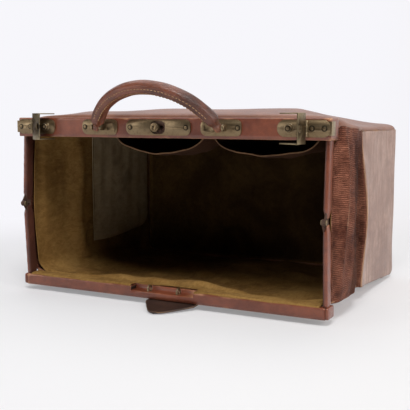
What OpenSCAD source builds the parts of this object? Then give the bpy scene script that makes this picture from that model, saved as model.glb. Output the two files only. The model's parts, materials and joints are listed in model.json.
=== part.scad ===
// Gladstone travel bag, lying open on its lower side with the mouth towards -Y.
// Pieces are drawn from the mouth plane, where y = 0 is the upper jaw's face, and seat() places them.

/* [Jaws] */
// Length of the upper jaw across the mouth
jaw_len = 450; // [430:5:480]
// Height of the upper jaw's face
jaw_h = 25; // [25:0.5:27]
// Depth of the upper jaw from its face to its rear edge
jaw_d = 30; // [30:0.5:33]
// Steel sheet of the jaws
steel_t = 1.6; // [1.2:0.1:1.6]
// Leather skin over the jaws
skin_t = 1.4; // [1:0.1:1.4]
// Height of the lower jaw's face
lower_h = 14; // [14:0.5:15]
// Height of the lower jaw above the surface that the bag lies on
lower_z = 8; // [8:0.5:11]
// Free space round the lower jaw when it nests in the upper one
nest_gap = 0.6; // [0.4:0.1:0.7]

/* [Side arms] */
// Distance between the corner pivots with the mouth open
pivot_span = 220; // [205:5:235]
// Distance between the corner pivots with the mouth shut
shut_span = 14; // [14:0.25:15]
// Distance of the corner pivots behind the upper jaw's face
pivot_y = 14; // [13.5:0.25:15]
// Width of an arm
arm_w = 11; // [9.5:0.25:11]
// Thickness of an arm
arm_t = 4.4; // [4:0.1:4.8]
// Leather of the sleeves round the arms
sleeve_t = 1; // [0.6:0.1:1.2]
// Step from an arm's centreline forward to the middle pivot
knee_step = 8; // [7.5:0.25:9]
// Radius of the ears at the middle pivot
ear_r = 4; // [3.5:0.1:4.2]
// Radius of the pins in the arms
arm_pin_r = 1.6; // [1.2:0.1:1.8]
// Steel cheeks that hold the corner pins
cheek_t = 2.4; // [1.8:0.1:3]

/* [Body] */
// Depth of the bag from the mouth to the back of its base
depth = 333; // [310:1:360]
// Width over the stiff ends
body_w = 433; // [421:1:433]
// Height of the base's upper edge
base_top = 224; // [205:1:224]
// Distance from the mouth to the seam between folding gusset and stiff end
seam_y = 150; // [146:1:170]
// Leather of the panels
hide_t = 3; // [2:0.1:3.5]
// Cloth linings
cloth_t = 1.5; // [1:0.1:1.8]
// Fibre board in the base
board_t = 2; // [1.5:0.1:2.5]
// Radius of the base's long edges
base_r = 15; // [10:1:20]
// Rise of the upper panel's crown
crown = 15; // [10:0.5:16]
// Radius of the piping along the end seams
piping_r = 1.8; // [1.2:0.1:2]

/* [Pockets] */
// Width of the left pocket
pocket_w_left = 146; // [120:1:150]
// Width of the right pocket
pocket_w_right = 156; // [120:1:156]
// Sag of a pocket below the upper lining
pocket_sag = 50; // [35:1:52]
// Depth of a pocket
pocket_d = 90; // [60:1:120]

/* [Hardware] */
// Height of the brass plates
plate_h = 20; // [16:0.5:21]
// Thickness of the brass plates at their crown
plate_t = 2.4; // [2:0.1:2.8]
// Length of the lock plate
lock_len = 93; // [90:1:100]
// Length of a handle plate
handle_plate_len = 54; // [50:1:58]
// Length of a claw plate along the jaw
claw_plate_len = 64; // [62:1:68]
// Distance of a claw's hinge from the jaw's end
claw_hinge_in = 28; // [26:0.5:30]
// Reach of a claw's web from its hinge
claw_reach = 28; // [27:0.5:30]
// Sheet of the claws
claw_t = 1.4; // [1:0.1:1.6]
// Length of a claw's flanges
flange_len = 25; // [18:1:25]
// Angle by which the left claw rests swung in towards its stud
claw_left_turn = 60; // [0:5:85]
// Distance of a claw's stud from its hinge
stud_in = 21.5; // [20:0.5:22]
// Radius of a claw's stud
stud_r = 4.2; // [3:0.1:4.4]
// Radius of the claw's hinge pin
claw_pin_r = 1.1; // [0.8:0.1:1.2]
// Radius of a rivet's shank
rivet_r = 1.2; // [0.8:0.1:1.4]

/* [Lock] */
// Travel of the lock's button
lock_travel = 8; // [5:0.5:8]
// Radius of the lock's button
button_r = 5.6; // [4.5:0.1:5.8]
// Distance of each staple from the middle
staple_x = 21.5; // [20:0.5:23]
// Width of a staple
staple_w = 10; // [9:0.25:10]
// Thickness of a staple
staple_t = 2.2; // [1.6:0.1:2.4]

/* [Handle] */
// Distance of each handle bar from the middle
handle_x = 88; // [84:0.5:90]
// Height of the grip's centreline over its bars
handle_h = 58; // [50:1:64]
// Radius of the grip
grip_r = 8; // [6.5:0.25:9]
// Radius of the filling inside the grip
core_r = 4; // [3:0.1:4.5]
// Radius of the bars that the handle swings on
bar_r = 2; // [1.6:0.1:2.2]
// Forward lean of the handle as it is shown
handle_lean = 33; // [25:1:40]

/* [Pull tab] */
// Width of the pull tab at the lower jaw
tab_w = 70; // [60:1:80]
// Reach of the pull tab in front of the lower jaw
tab_len = 38; // [30:1:40]
// Distance of the pull tab's middle from the lock
tab_x = 15; // [10:1:20]

/* [Hidden] */
$fn = 48;

run_gap = 0.05;          // radial clearance of a pin in its bore
soft_gap = 0.3;          // clearance of a soft piece to a moving neighbour
seat_gap = 0.2;          // clearance between pieces that sit against each other
end_gap = 1;             // space between the lower jaw's end and the upper jaw's end wall

half = jaw_len / 2;
wall = steel_t + skin_t;
low_pivot_z = lower_z + arm_w / 2 - 0.5;
up_pivot_z = low_pivot_z + pivot_span;
jaw_top = up_pivot_z + wall + arm_w / 2 + 0.5;
jaw_bot = jaw_top - jaw_h;
lower_top = lower_z + lower_h;
drop = pivot_span - shut_span;
knee_z = (low_pivot_z + up_pivot_z) / 2;

lower_y0 = wall + nest_gap;
lower_y1 = jaw_d - wall - nest_gap;
arm_x1 = half - wall - end_gap;
arm_x0 = arm_x1 - arm_t;
arm_xm = (arm_x0 + arm_x1) / 2;
cheek_x1 = arm_x0 - 0.3;
cheek_x0 = cheek_x1 - cheek_t;
arm_lean = (pivot_y - knee_step) / (pivot_span / 2);
core_w = arm_w - 2 * sleeve_t;
head_r = 2 * arm_pin_r;
head_t = 1.4;

board_x1 = body_w / 2;
board_x0 = board_x1 - hide_t;
gusset_x0 = arm_x1 + head_t + 1.1;
gusset_x1 = gusset_x0 + hide_t;
lining_x1 = board_x0 - seat_gap;
lining_x0 = lining_x1 - cloth_t;
facing_x1 = lining_x0 - 0.1;
facing_x0 = facing_x1 - cloth_t;
inner_x = facing_x0 - 2 * soft_gap;

panel_front = 54;
panel_back = depth - base_r - 0.5;
panel_rise = 6;
pocket_rise = 8.3;
panel_fall = 6;
panel_steps = 6;
hinge_z = jaw_top - 2 - drop / 2;

face_z = (jaw_top + jaw_bot) / 2 + 0.5;
case_y0 = wall + seat_gap;
case_y1 = case_y0 + 14.4;
case_z0 = jaw_bot + 5;
case_z1 = jaw_top - wall - seat_gap;
case_half = lock_len / 2 - 2.5;
case_t = 1.2;
notch_half = case_half + 3;
notch_z = case_z0 - drop - 0.5;
staple_y = (case_y0 + case_y1) / 2 + 0.6;
staple_top = notch_z + 9.1;
bolt_z = staple_top + drop + 0.8;
bolt_h = 4;
tongue_z = notch_z + drop + 3;
slot_half_x = lock_travel / 2 + button_r + 1.4;
slot_half_z = 8.5;
stem_r = 2.4;
pocket_split = handle_x * 0.5625;

claw_x = half - claw_hinge_in;
knuckle_r = 2.2;
claw_y = -(plate_t + knuckle_r + seat_gap);
claw_z0 = lower_z + drop - seat_gap;
claw_z1 = jaw_top + (jaw_top - claw_z0) * 0.16;
knuckle_h = plate_h * 0.4;
knuckle_end = plate_h / 4;
knuckle_gap = 0.3;

bar_y = 8;
tab_half = 4.5;
lug_t = 2.4;
lug_x = tab_half + 0.4 + lug_t / 2;
arc_r = (handle_x * handle_x + handle_h * handle_h) / (2 * handle_h);
arc_foot = atan2(arc_r - handle_h, handle_x);
arc_start = arc_foot + 12;
core_start = arc_start + 7;
grip_flat = 0.62;

front_y = -(bar_y + handle_h * sin(handle_lean) + grip_r);
mid_y = (depth + front_y) / 2;

brass = "#a08a5c";
steel = "#8d8a84";
hide = "#9a5a4c";
hide_dark = "#7c4338";
suede = "#a98f5c";
cloth = "#8a8078";

// Moves a piece from the mouth plane to the part's own origin, below the middle of its box.
module seat() { translate([0, -mid_y, 0]) children(); }

// Box between two opposite corners.
module block(lo, hi) { translate(lo) cube([hi[0] - lo[0], hi[1] - lo[1], hi[2] - lo[2]]); }

// The children on the given side, drawn for +X and mirrored for -X.
module on_side(side) {
  if (side < 0) mirror([1, 0, 0]) children();
  else children();
}
module both_sides() {
  for (side = [-1, 1]) on_side(side) children();
}

// Extrudes an outline drawn in (y, z) along X from x0 to x1.
module along_x(x0, x1) { translate([x0, 0, 0]) rotate([90, 0, 90]) linear_extrude(x1 - x0) children(); }

// Extrudes an outline drawn in (x, z) along Y from y0 to y1.
module along_y(y0, y1) { translate([0, y1, 0]) rotate([90, 0, 0]) linear_extrude(y1 - y0) children(); }

// Round bar along X, Y or Z.
module rod_x(x0, x1, y, z, r) { translate([x0, y, z]) rotate([0, 90, 0]) cylinder(r = r, h = x1 - x0); }
module rod_y(x, y0, y1, z, r) { translate([x, y1, z]) rotate([90, 0, 0]) cylinder(r = r, h = y1 - y0); }
module rod_z(x, y, z0, z1, r) { translate([x, y, z0]) cylinder(r = r, h = z1 - z0); }

// Rectangle with four round corners, centred.
module round_rect(w, h, r) {
  square([w - 2 * r, h], center = true);
  square([w, h - 2 * r], center = true);
  for (sx = [-1, 1], sz = [-1, 1]) translate([sx * (w / 2 - r), sz * (h / 2 - r)]) circle(r);
}

// Jaws

// Outline of the rear cut that lets the arms fold out of a jaw's ends.
module arm_door(z0, z1) {
  both_sides() block([cheek_x1, jaw_d / 2, z0], [half - wall, jaw_d + 1, z1]);
}

module rivet_bores() {
  both_sides() {
    for (x = [claw_x + 6, half - 7]) rod_y(x, -plate_t - 1, wall + 1, face_z, rivet_r + run_gap);
    for (x = handle_rivets()) rod_y(x, -plate_t - 1, wall + 1, face_z, rivet_r + run_gap);
    rod_y(claw_x - stud_in, -plate_t - 1, wall + 1, face_z, rivet_r + run_gap);
    rod_y(lock_len / 2 - 6, -plate_t - 1, wall + 1, face_z, rivet_r + run_gap);
  }
}
function handle_rivets() = [handle_x + handle_plate_len / 2 - 4.5];

module lock_window(grow) {
  along_y(-plate_t - 1, wall + case_t + 1)
    translate([0, face_z]) round_rect(2 * (slot_half_x + grow), 2 * (slot_half_z + grow), slot_half_z + grow - 0.5);
}
module stem_slot() {
  along_y(-1, case_y0 + case_t + 0.1)
    translate([0, face_z]) round_rect(lock_travel + 2 * stem_r + 0.4, 2 * stem_r + 0.4, stem_r);
}

module cheek(z0, z1, pivot_z) {
  difference() {
    block([cheek_x0, pivot_y - 5, z0], [cheek_x1, pivot_y + 5, z1]);
    rod_x(cheek_x0 - 1, cheek_x1 + 1, pivot_y, pivot_z, arm_pin_r + run_gap);
  }
}

module upper_jaw_channel() {
  seat() color(steel) {
    difference() {
      block([-half + skin_t, skin_t, jaw_bot], [half - skin_t, jaw_d - skin_t, jaw_top - skin_t]);
      block([-half + wall, wall, jaw_bot - 1], [half - wall, jaw_d - wall, jaw_top - wall]);
      arm_door(jaw_bot - 1, jaw_top - wall);
      rivet_bores();
      stem_slot();
    }
    both_sides() cheek(up_pivot_z - 4, jaw_top - wall, up_pivot_z);
  }
}

module upper_jaw_cover() {
  seat() color(hide) difference() {
    block([-half, 0, jaw_bot], [half, jaw_d, jaw_top]);
    block([-half + skin_t, skin_t, jaw_bot - 1], [half - skin_t, jaw_d - skin_t, jaw_top - skin_t]);
    arm_door(jaw_bot - 1, jaw_top - wall);
    rivet_bores();
    lock_window(0);
  }
}

// Cut for the arms in the lower jaw's ends: only the front wall goes through to the end.
module lower_arm_gate() {
  both_sides() block([cheek_x1, lower_y0 + wall, lower_z - 1], [arm_x1 + 1, lower_y1 + 1, lower_top + 1]);
}
module notch() {
  block([-notch_half, lower_y0 - 1, notch_z], [notch_half, case_y1 + 0.8, lower_top + 1]);
}

module lower_jaw_channel() {
  y0 = lower_y0 + skin_t;
  y1 = lower_y1 - skin_t;
  z1 = lower_top - skin_t;
  seat() color(steel) {
    difference() {
      block([-arm_x1, y0, lower_z], [arm_x1, y1, z1]);
      block([-arm_x1 - 1, y0 + steel_t, lower_z - 1], [arm_x1 + 1, y1 - steel_t, z1 - steel_t]);
      notch();
      lower_arm_gate();
    }
    both_sides() cheek(low_pivot_z - 4, z1 - steel_t, low_pivot_z);
  }
}

// Floor of the notch, which carries the staples: a plate brazed between the channel's walls.
module staple_plate() {
  seat() color(steel)
    block([-notch_half - 4, lower_y0 + skin_t + steel_t, notch_z - steel_t],
          [notch_half + 4, lower_y1 - skin_t - steel_t, notch_z]);
}

module lower_jaw_cover() {
  seat() color(hide) difference() {
    block([-arm_x1, lower_y0, lower_z], [arm_x1, lower_y1, lower_top]);
    block([-arm_x1 - 1, lower_y0 + skin_t, lower_z - 1], [arm_x1 + 1, lower_y1 - skin_t, lower_top - skin_t]);
    notch();
    lower_arm_gate();
  }
}

module corner_pin(pivot_z) {
  rod_x(cheek_x0, arm_x1, pivot_y, pivot_z, arm_pin_r);
  rod_x(cheek_x0 - head_t, cheek_x0, pivot_y, pivot_z, head_r);
  rod_x(arm_x1 + 0.1, arm_x1 + 0.6, pivot_y, pivot_z, head_r);
  rod_x(arm_x1 - 0.1, arm_x1 + 0.2, pivot_y, pivot_z, arm_pin_r);
}
module lower_corner_pins() { seat() color(brass) both_sides() corner_pin(low_pivot_z); }
module upper_corner_pins() { seat() color(brass) both_sides() corner_pin(up_pivot_z); }

module staples() {
  eye_r = staple_w / 2 - 2;
  eye_z = staple_top - staple_w / 2;
  seat() color(brass) both_sides() along_x(staple_x - staple_t / 2, staple_x + staple_t / 2) difference() {
    union() {
      translate([staple_y, eye_z]) circle(staple_w / 2);
      translate([staple_y - staple_w / 2, notch_z]) square([staple_w, eye_z - notch_z]);
    }
    translate([staple_y, eye_z]) circle(eye_r);
    translate([staple_y - eye_r, notch_z + 2]) square([2 * eye_r, eye_z - notch_z - 2]);
    translate([staple_y - staple_w / 2, notch_z - staple_w]) square([staple_w, staple_w]);
  }
}

module pull_tab() {
  tip = tab_w * 0.2;
  root_y = lower_y0 + 8;
  thick = 2.4;
  slope = asin((lower_z - thick - 2 * seat_gap) / (tab_len + root_y));
  seat() color(hide_dark) translate([tab_x, root_y, lower_z - seat_gap])
    rotate([slope, 0, 0]) translate([0, 0, -thick]) linear_extrude(thick) {
      polygon([[-tab_w / 2, 0], [tab_w / 2, 0], [tab_w / 2, -root_y],
               [tip, -root_y - tab_len + tip / 2], [-tip, -root_y - tab_len + tip / 2], [-tab_w / 2, -root_y]]);
      translate([0, -root_y - tab_len + tip / 2]) intersection() {
        circle(tip);
        translate([-tip, -tip / 2]) square([2 * tip, tip / 2]);
      }
    }
}

// Side arms

// Bar of one arm in (y, z), from the corner pivot towards the middle pivot.
module arm_bar(width, from_z, to_z) {
  w = width / 2 * sqrt(1 + arm_lean * arm_lean);
  y_from = pivot_y - arm_lean * (from_z - low_pivot_z);
  y_to = pivot_y - arm_lean * (to_z - low_pivot_z);
  polygon([[y_from - w, from_z], [y_from + w, from_z], [y_to + w, to_z], [y_to - w, to_z]]);
}

// Ear round the middle pivot and its neck into the bar.
module knee_ear() {
  edge = knee_step - core_w / 2;
  translate([0, knee_z]) circle(ear_r);
  polygon([[-0.38 * ear_r, knee_z - 0.92 * ear_r], [0, knee_z], [edge + 1, knee_z - 0.2],
           [edge + 2, knee_z - 13], [edge + 0.9, knee_z - 13]]);
}

// Lower arm for +X. Its ear is the inner half of the knee, the upper arm's is the outer half.
module arm_core(ear_x0, ear_x1) {
  difference() {
    union() {
      along_x(arm_x0, arm_x1) translate([pivot_y, low_pivot_z]) circle(arm_w / 2);
      along_x(arm_xm - arm_t / 2 + sleeve_t, arm_xm + arm_t / 2 - sleeve_t)
        arm_bar(core_w, low_pivot_z, knee_z - 0.2);
      along_x(ear_x0, ear_x1) knee_ear();
    }
    rod_x(arm_x0 - 1, arm_x1 + 1, pivot_y, low_pivot_z, arm_pin_r + run_gap);
    rod_x(arm_x0 - 1, arm_x1 + 1, 0, knee_z, arm_pin_r + run_gap);
    if (ear_x0 < arm_xm - 1) rod_x(arm_xm, arm_x1 + 1, 0, knee_z, ear_r + 0.5);
    else rod_x(arm_x0 - 1, arm_xm, 0, knee_z, ear_r + 0.5);
  }
}
module arm_sleeve() {
  from = low_pivot_z + arm_w / 2 + 4;
  to = knee_z - 14;
  difference() {
    along_x(arm_x0, arm_x1) arm_bar(arm_w, from, to);
    along_x(arm_x0 + sleeve_t, arm_x1 - sleeve_t) arm_bar(core_w, from - 1, to + 1);
  }
}

// The upper arm is the lower one turned over about the knee's height.
module turned_over() { translate([0, 0, 2 * knee_z]) mirror([0, 0, 1]) children(); }

module lower_arm(side) { seat() color(steel) on_side(side) arm_core(arm_x0, arm_xm - 0.1); }
module lower_sleeve(side) { seat() color(hide) on_side(side) arm_sleeve(); }
module upper_arm(side) { seat() color(steel) on_side(side) turned_over() arm_core(arm_xm + 0.1, arm_x1); }
module upper_sleeve(side) { seat() color(hide) on_side(side) turned_over() arm_sleeve(); }
module knee_pin(side) {
  seat() color(brass) on_side(side) {
    rod_x(arm_x0 - head_t, arm_x1 + head_t, 0, knee_z, arm_pin_r);
    rod_x(arm_x0 - head_t, arm_x0 - run_gap, 0, knee_z, head_r);
    rod_x(arm_x1 + run_gap, arm_x1 + head_t, 0, knee_z, head_r);
  }
}
module lower_arm_left() { lower_arm(-1); }
module lower_arm_right() { lower_arm(1); }
module lower_sleeve_left() { lower_sleeve(-1); }
module lower_sleeve_right() { lower_sleeve(1); }
module upper_arm_left() { upper_arm(-1); }
module upper_arm_right() { upper_arm(1); }
module upper_sleeve_left() { upper_sleeve(-1); }
module upper_sleeve_right() { upper_sleeve(1); }
module knee_pin_left() { knee_pin(-1); }
module knee_pin_right() { knee_pin(1); }

// Body

module bottom_panel() {
  y0 = jaw_d - wall + 0.2;
  sill = jaw_bot - drop - seat_gap;
  ramp = y0 + 10 * hide_t;
  seat() color(hide) along_x(-board_x0 + 1, board_x0 - 1)
    polygon([[y0, sill - hide_t], [ramp, 0], [depth - base_r, 0], [depth - base_r, hide_t],
             [ramp + 1, hide_t], [jaw_d + 0.5, sill], [y0, sill]]);
}

// Quarter ring of the base's long edge, with its centre at (y, z).
module edge_ring(y, z, up) {
  translate([y, z]) intersection() {
    difference() {
      circle(base_r);
      circle(base_r - hide_t);
    }
    translate([0, up ? 0 : -base_r]) square([base_r, base_r]);
  }
}
module base_panel() {
  seat() color(hide) along_x(-board_x0 + 1, board_x0 - 1) {
    edge_ring(depth - base_r, base_r, false);
    edge_ring(depth - base_r, base_top - base_r, true);
    translate([depth - hide_t, base_r]) square([hide_t, base_top - 2 * base_r]);
  }
}
module base_board() {
  y1 = depth - hide_t - seat_gap;
  seat() color("#5d4a36") block([-lining_x0, y1 - board_t, base_r], [lining_x0, y1, base_top - base_r]);
}
module lining_back() {
  y1 = depth - hide_t - board_t - 2 * seat_gap;
  seat() color(suede) block([-inner_x, y1 - cloth_t, base_r], [inner_x, y1, base_top - base_r]);
}

// Stiff end in (y, z), with the base's rounded corners.
module end_outline(grow) {
  r = base_r + grow;
  z0 = 2 - grow;
  z1 = base_top + grow;
  y1 = depth + grow;
  translate([seam_y, z0]) square([y1 - r - seam_y, z1 - z0]);
  translate([seam_y, z0 + r]) square([y1 - seam_y, z1 - z0 - 2 * r]);
  for (z = [z0 + r, z1 - r]) translate([y1 - r, z]) circle(r);
}
module end_board(side) {
  seat() color(hide) on_side(side) along_x(board_x0, board_x1) end_outline(0);
}
module end_board_left() { end_board(-1); }
module end_board_right() { end_board(1); }

// Folding gusset: outside the arms' sweep, then stepping in to the stiff end's seam.
module gusset(side) {
  y0 = jaw_d + 0.5;
  y1 = seam_y - 0.1;
  bend = seam_y - 14;
  seat() color(hide_dark) on_side(side) intersection() {
    linear_extrude(jaw_top + 10) polygon([
      [gusset_x0, y0], [gusset_x1, y0], [gusset_x1, bend], [board_x1, y1], [board_x0, y1], [gusset_x0, bend]]);
    along_x(min(board_x0, gusset_x0) - 1, max(board_x1, gusset_x1) + 1)
      polygon([[y0, lower_z], [y1, 3], [y1, base_top + 2], [y0, jaw_top - 6]]);
  }
}
module gusset_left() { gusset(-1); }
module gusset_right() { gusset(1); }
module seam_piping() {
  seat() color(hide_dark) both_sides() difference() {
    rod_z(board_x1 + 0.6, seam_y, 6, base_top, piping_r);
    block([board_x0 - 5, seam_y - 20, 0], [board_x1 + 0.05, depth, base_top + 5]);
    block([board_x0 - 5, seam_y - 20, 0], [gusset_x1, seam_y, base_top + 5]);
  }
}

module lining_bottom() {
  z0 = hide_t + seat_gap;
  seat() color(suede) block([-inner_x, jaw_d + 31, z0], [inner_x, depth - base_r - 2, z0 + cloth_t]);
}
module lining_side(side) {
  seat() color(suede) on_side(side)
    block([lining_x0, seam_y - 12, 8], [lining_x1, depth - base_r, base_top - 4]);
}
module lining_left() { lining_side(-1); }
module lining_right() { lining_side(1); }

// Grey facing on the inside of a stiff end.
module facing(side) {
  seat() color(cloth) on_side(side)
    block([facing_x0, seam_y, base_top * 0.23], [facing_x1, depth - base_r - 2, base_top - 6]);
}
module facing_left() { facing(-1); }
module facing_right() { facing(1); }

// Upper panel: heights of its outer face along its sides, along its middle and between them, at the share t of
// the way from front to back.
function panel_y(t) = panel_front + t * (panel_back - panel_front);
function side_z(t) = jaw_top + (base_top - jaw_top) * pow(min(1, (panel_y(t) - jaw_d) / (seam_y - jaw_d)), 2);
function middle_z(t) = (jaw_top + panel_rise) * (1 - t) + base_top * t + crown * sin(180 * pow(t, 0.75));
function panel_z(x, t) = side_z(t) + (middle_z(t) - side_z(t)) * (1 - pow(abs(x) / board_x1, panel_fall));

// Sheet under the panel's face: its top lies the given distance below the face, in a few flat cells.
module panel_sheet(down, thick) {
  xs = [for (s = [-1, -0.86, -0.64, 0, 0.64, 0.86, 1]) s * inner_x];
  n = len(xs);
  cols = n - 1;
  rows = panel_steps;
  points = [for (z = [down, down + thick]) for (j = [0:rows]) for (x = xs)
    let (t = pow(j / rows, 1.3)) [x, panel_y(t), panel_z(x, t) - z]];
  under = n * (rows + 1);
  cells = [for (j = [0:rows - 1]) for (i = [0:cols - 1]) let (a = j * n + i) [a, a + n, a + n + 1, a + 1]];
  top = [for (c = cells) for (f = [[c[0], c[1], c[2]], [c[0], c[2], c[3]]]) f];
  bottom = [for (f = top) [f[2] + under, f[1] + under, f[0] + under]];
  front = [for (i = [0:cols - 1]) [i + under, i, i + 1, i + 1 + under]];
  rear = [for (f = front) [for (k = [3, 2, 1, 0]) f[k] + rows * n]];
  left = [for (j = [0:rows - 1]) [(j + 1) * n + under, (j + 1) * n, j * n, j * n + under]];
  right = [for (f = left) [for (k = [3, 2, 1, 0]) f[k] + cols]];
  polyhedron(points, concat(top, bottom, front, rear, left, right));
}

module top_panel() {
  seat() color(hide) panel_sheet(0, hide_t);
}
module lining_top() {
  x1 = inner_x - 3;
  seat() color(suede) intersection() {
    panel_sheet(hide_t + seat_gap, cloth_t);
    block([-x1, panel_front + 4, 0], [x1, panel_back - 6, jaw_top + 20]);
  }
}

// Swag pocket sewn up to the upper lining, open at the front: a round trough with a rear wall.
module pocket(x_mid, width) {
  y0 = panel_front + 6;
  y1 = y0 + pocket_d;
  under = hide_t + cloth_t + 2 * seat_gap;
  top = jaw_top + pocket_rise - under;
  r = (width * width / 4 + pocket_sag * pocket_sag) / (2 * pocket_sag);
  zc = top - pocket_sag + r;
  seat() color(suede) intersection() {
    panel_sheet(under, jaw_top - 100);
    union() {
      intersection() {
        difference() {
          rod_y(x_mid, y0, y1, zc, r);
          rod_y(x_mid, y0 - 1, y1 - cloth_t, zc, r - cloth_t);
        }
        block([x_mid - width / 2, y0 - 1, top - pocket_sag - 1], [x_mid + width / 2, y1 + 1, jaw_top + 20]);
      }
      for (x = [x_mid - width / 2, x_mid + width / 2 - cloth_t])
        block([x, y0, top - pocket_sag * 0.1], [x + cloth_t, y1, jaw_top + 20]);
    }
  }
}
module pocket_left() { pocket(pocket_split - 0.5 - pocket_w_left / 2, pocket_w_left); }
module pocket_right() { pocket(pocket_split + 0.5 + pocket_w_right / 2, pocket_w_right); }

// Brass plates on the upper jaw

// Plate with round ends and a crowned face, its back on the jaw's face.
module crowned_plate(x0, x1, corner_r) {
  crown_r = plate_h * 1.4;
  intersection() {
    along_y(-plate_t, 0) translate([(x0 + x1) / 2, face_z]) round_rect(x1 - x0, plate_h, corner_r);
    rod_x(x0 - 1, x1 + 1, crown_r - plate_t, face_z, crown_r, $fn = 240);
  }
}

module lock_plate() {
  seat() color(brass) difference() {
    crowned_plate(-lock_len / 2, lock_len / 2, plate_h * 0.4);
    lock_window(0);
    rivet_bores();
  }
}
module lock_case() {
  seat() color(steel) difference() {
    block([-case_half, case_y0, case_z0], [case_half, case_y1, case_z1]);
    block([-case_half + case_t, case_y0 + case_t, case_z0 - 1],
          [case_half - case_t, case_y1 - case_t, case_z1 - case_t]);
    stem_slot();
    rivet_bores();
  }
}
module lock_spring() {
  z1 = case_z1 - case_t;
  bow = z1 - (bolt_z + bolt_h) - 0.3;
  end = case_half * 0.68;
  mid = end / 3;
  seat() color(steel) along_y(staple_y - 1.6, staple_y + 1.6)
    polygon([[-end, z1], [end, z1], [end, z1 - 0.6], [mid, z1 - 0.6], [0, z1 - bow], [-mid, z1 - 0.6],
             [-end, z1 - 0.6]]);
}
module lock_button() {
  x = -lock_travel / 2;
  seat() color(brass) difference() {
    union() {
      rod_y(x, -plate_t - 2, skin_t - 0.4, face_z, button_r);
      rod_y(x, skin_t - 0.5, staple_y - stem_r, face_z, stem_r);
    }
    rod_y(x - 1, -plate_t - 3, -1, face_z + 0.8, 1.3);
    block([x - 1.5, -plate_t - 3, face_z - 3], [x - 0.5, -1, face_z + 0.8]);
  }
}
module lock_bolt() {
  x = -lock_travel / 2;
  bolt_half = case_half * 0.75;
  seat() color(steel) {
    difference() {
      block([x - bolt_half, staple_y - stem_r, bolt_z], [x + bolt_half, staple_y + stem_r, bolt_z + bolt_h]);
      rod_y(x, staple_y - 3, staple_y - stem_r, face_z, stem_r + 1);
    }
    block([x - 4, staple_y - stem_r, face_z - stem_r], [x + 4, staple_y + stem_r, bolt_z + 0.1]);
    for (s = [-staple_x, staple_x]) {
      leg = s - staple_t / 2 - 0.4 - lock_travel;
      block([leg - 3, staple_y - 2, tongue_z], [leg, staple_y + 2, bolt_z + 0.1]);
      block([leg - 3, staple_y - 2, tongue_z], [s - staple_t / 2 - 0.7, staple_y + 2, tongue_z + 3]);
    }
  }
}

module plate_rivets() {
  seat() color(brass) both_sides() {
    for (x = [claw_x + 6, half - 7, handle_rivets()[0], lock_len / 2 - 6]) {
      rod_y(x, -plate_t - 0.8, wall, face_z, rivet_r);
      rod_y(x, -plate_t - 0.8, -plate_t, face_z, 2 * rivet_r);
    }
  }
}

// Handle

module handle_plates() {
  seat() color(brass) both_sides() difference() {
    union() {
      crowned_plate(handle_x - handle_plate_len / 2, handle_x + handle_plate_len / 2, plate_h * 0.35);
      for (s = [-1, 1]) along_x(handle_x + s * lug_x - lug_t / 2, handle_x + s * lug_x + lug_t / 2) {
        translate([-bar_y, face_z]) circle(bar_r + 2);
        translate([-bar_y, face_z - bar_r - 2]) square([bar_y, 2 * bar_r + 4]);
      }
      along_y(-plate_t - 1.2, 0) translate([handle_x - handle_plate_len / 2 + 10, face_z])
        round_rect(16, plate_h * 0.66, 3);
    }
    rod_x(handle_x - lug_x - lug_t, handle_x + lug_x + lug_t, -bar_y, face_z, bar_r + run_gap);
    along_y(-plate_t - 2, -plate_t) translate([handle_x - handle_plate_len / 2 + 10, face_z])
      round_rect(9, plate_h * 0.36, 2);
    rivet_bores();
  }
}
module handle_bars() {
  seat() color(brass) both_sides() {
    rod_x(handle_x - lug_x - lug_t / 2, handle_x + lug_x + lug_t / 2, -bar_y, face_z, bar_r);
    for (x = [handle_x - lug_x - lug_t / 2 - 1, handle_x + lug_x + lug_t / 2])
      rod_x(x, x + 1, -bar_y, face_z, bar_r + 1);
  }
}

// Places a handle drawn upright about its bars' axis.
module handle_place() { translate([0, -bar_y, face_z]) rotate([handle_lean, 0, 0]) children(); }

// Arc of the handle in its own plane, with a section drawn at the arc's radius, from an angle to its mirror.
module handle_arc(from, to) {
  translate([0, 0, handle_h - arc_r]) rotate([90, 0, 0]) rotate([0, 0, from])
    rotate_extrude(angle = to - from, $fn = 96) children();
}

// Section of the grip: round above, flat at the inner side, where its leather's two edges meet.
module grip_section() {
  intersection() {
    translate([arc_r, 0]) circle(grip_r);
    translate([arc_r - grip_flat * grip_r, -grip_r]) square([2 * grip_r, 2 * grip_r]);
  }
}
module handle_grip() {
  foot_x = arc_r * cos(arc_start);
  foot_z = arc_r * sin(arc_start) + handle_h - arc_r;
  seat() color(hide_dark) handle_place() {
    difference() {
      handle_arc(arc_start, 180 - arc_start) grip_section();
      handle_arc(core_start, 180 - core_start) {
        translate([arc_r, 0]) circle(core_r + 0.1);
        translate([arc_r - grip_r, -seat_gap]) square([grip_r, 2 * seat_gap]);
      }
    }
    both_sides() difference() {
      union() {
        rod_x(handle_x - tab_half, handle_x + tab_half, 0, 0, bar_r + 3);
        along_y(-bar_r - 1.2, bar_r + 1.2)
          polygon([[handle_x - tab_half, 0], [handle_x + tab_half, 0], [handle_x + tab_half, bar_r + 2.5],
                   [foot_x + tab_half, foot_z + 3], [foot_x - tab_half + 1, foot_z + 1],
                   [handle_x - tab_half, bar_r + 2.5]]);
      }
      rod_x(handle_x - tab_half - 1, handle_x + tab_half + 1, 0, 0, bar_r + 2 * run_gap);
    }
  }
}
module handle_core() {
  seat() color("#c9b48a") handle_place()
    handle_arc(core_start + 0.1, 180 - core_start - 0.1) translate([arc_r, 0]) circle(core_r);
}

// Claws

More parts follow.
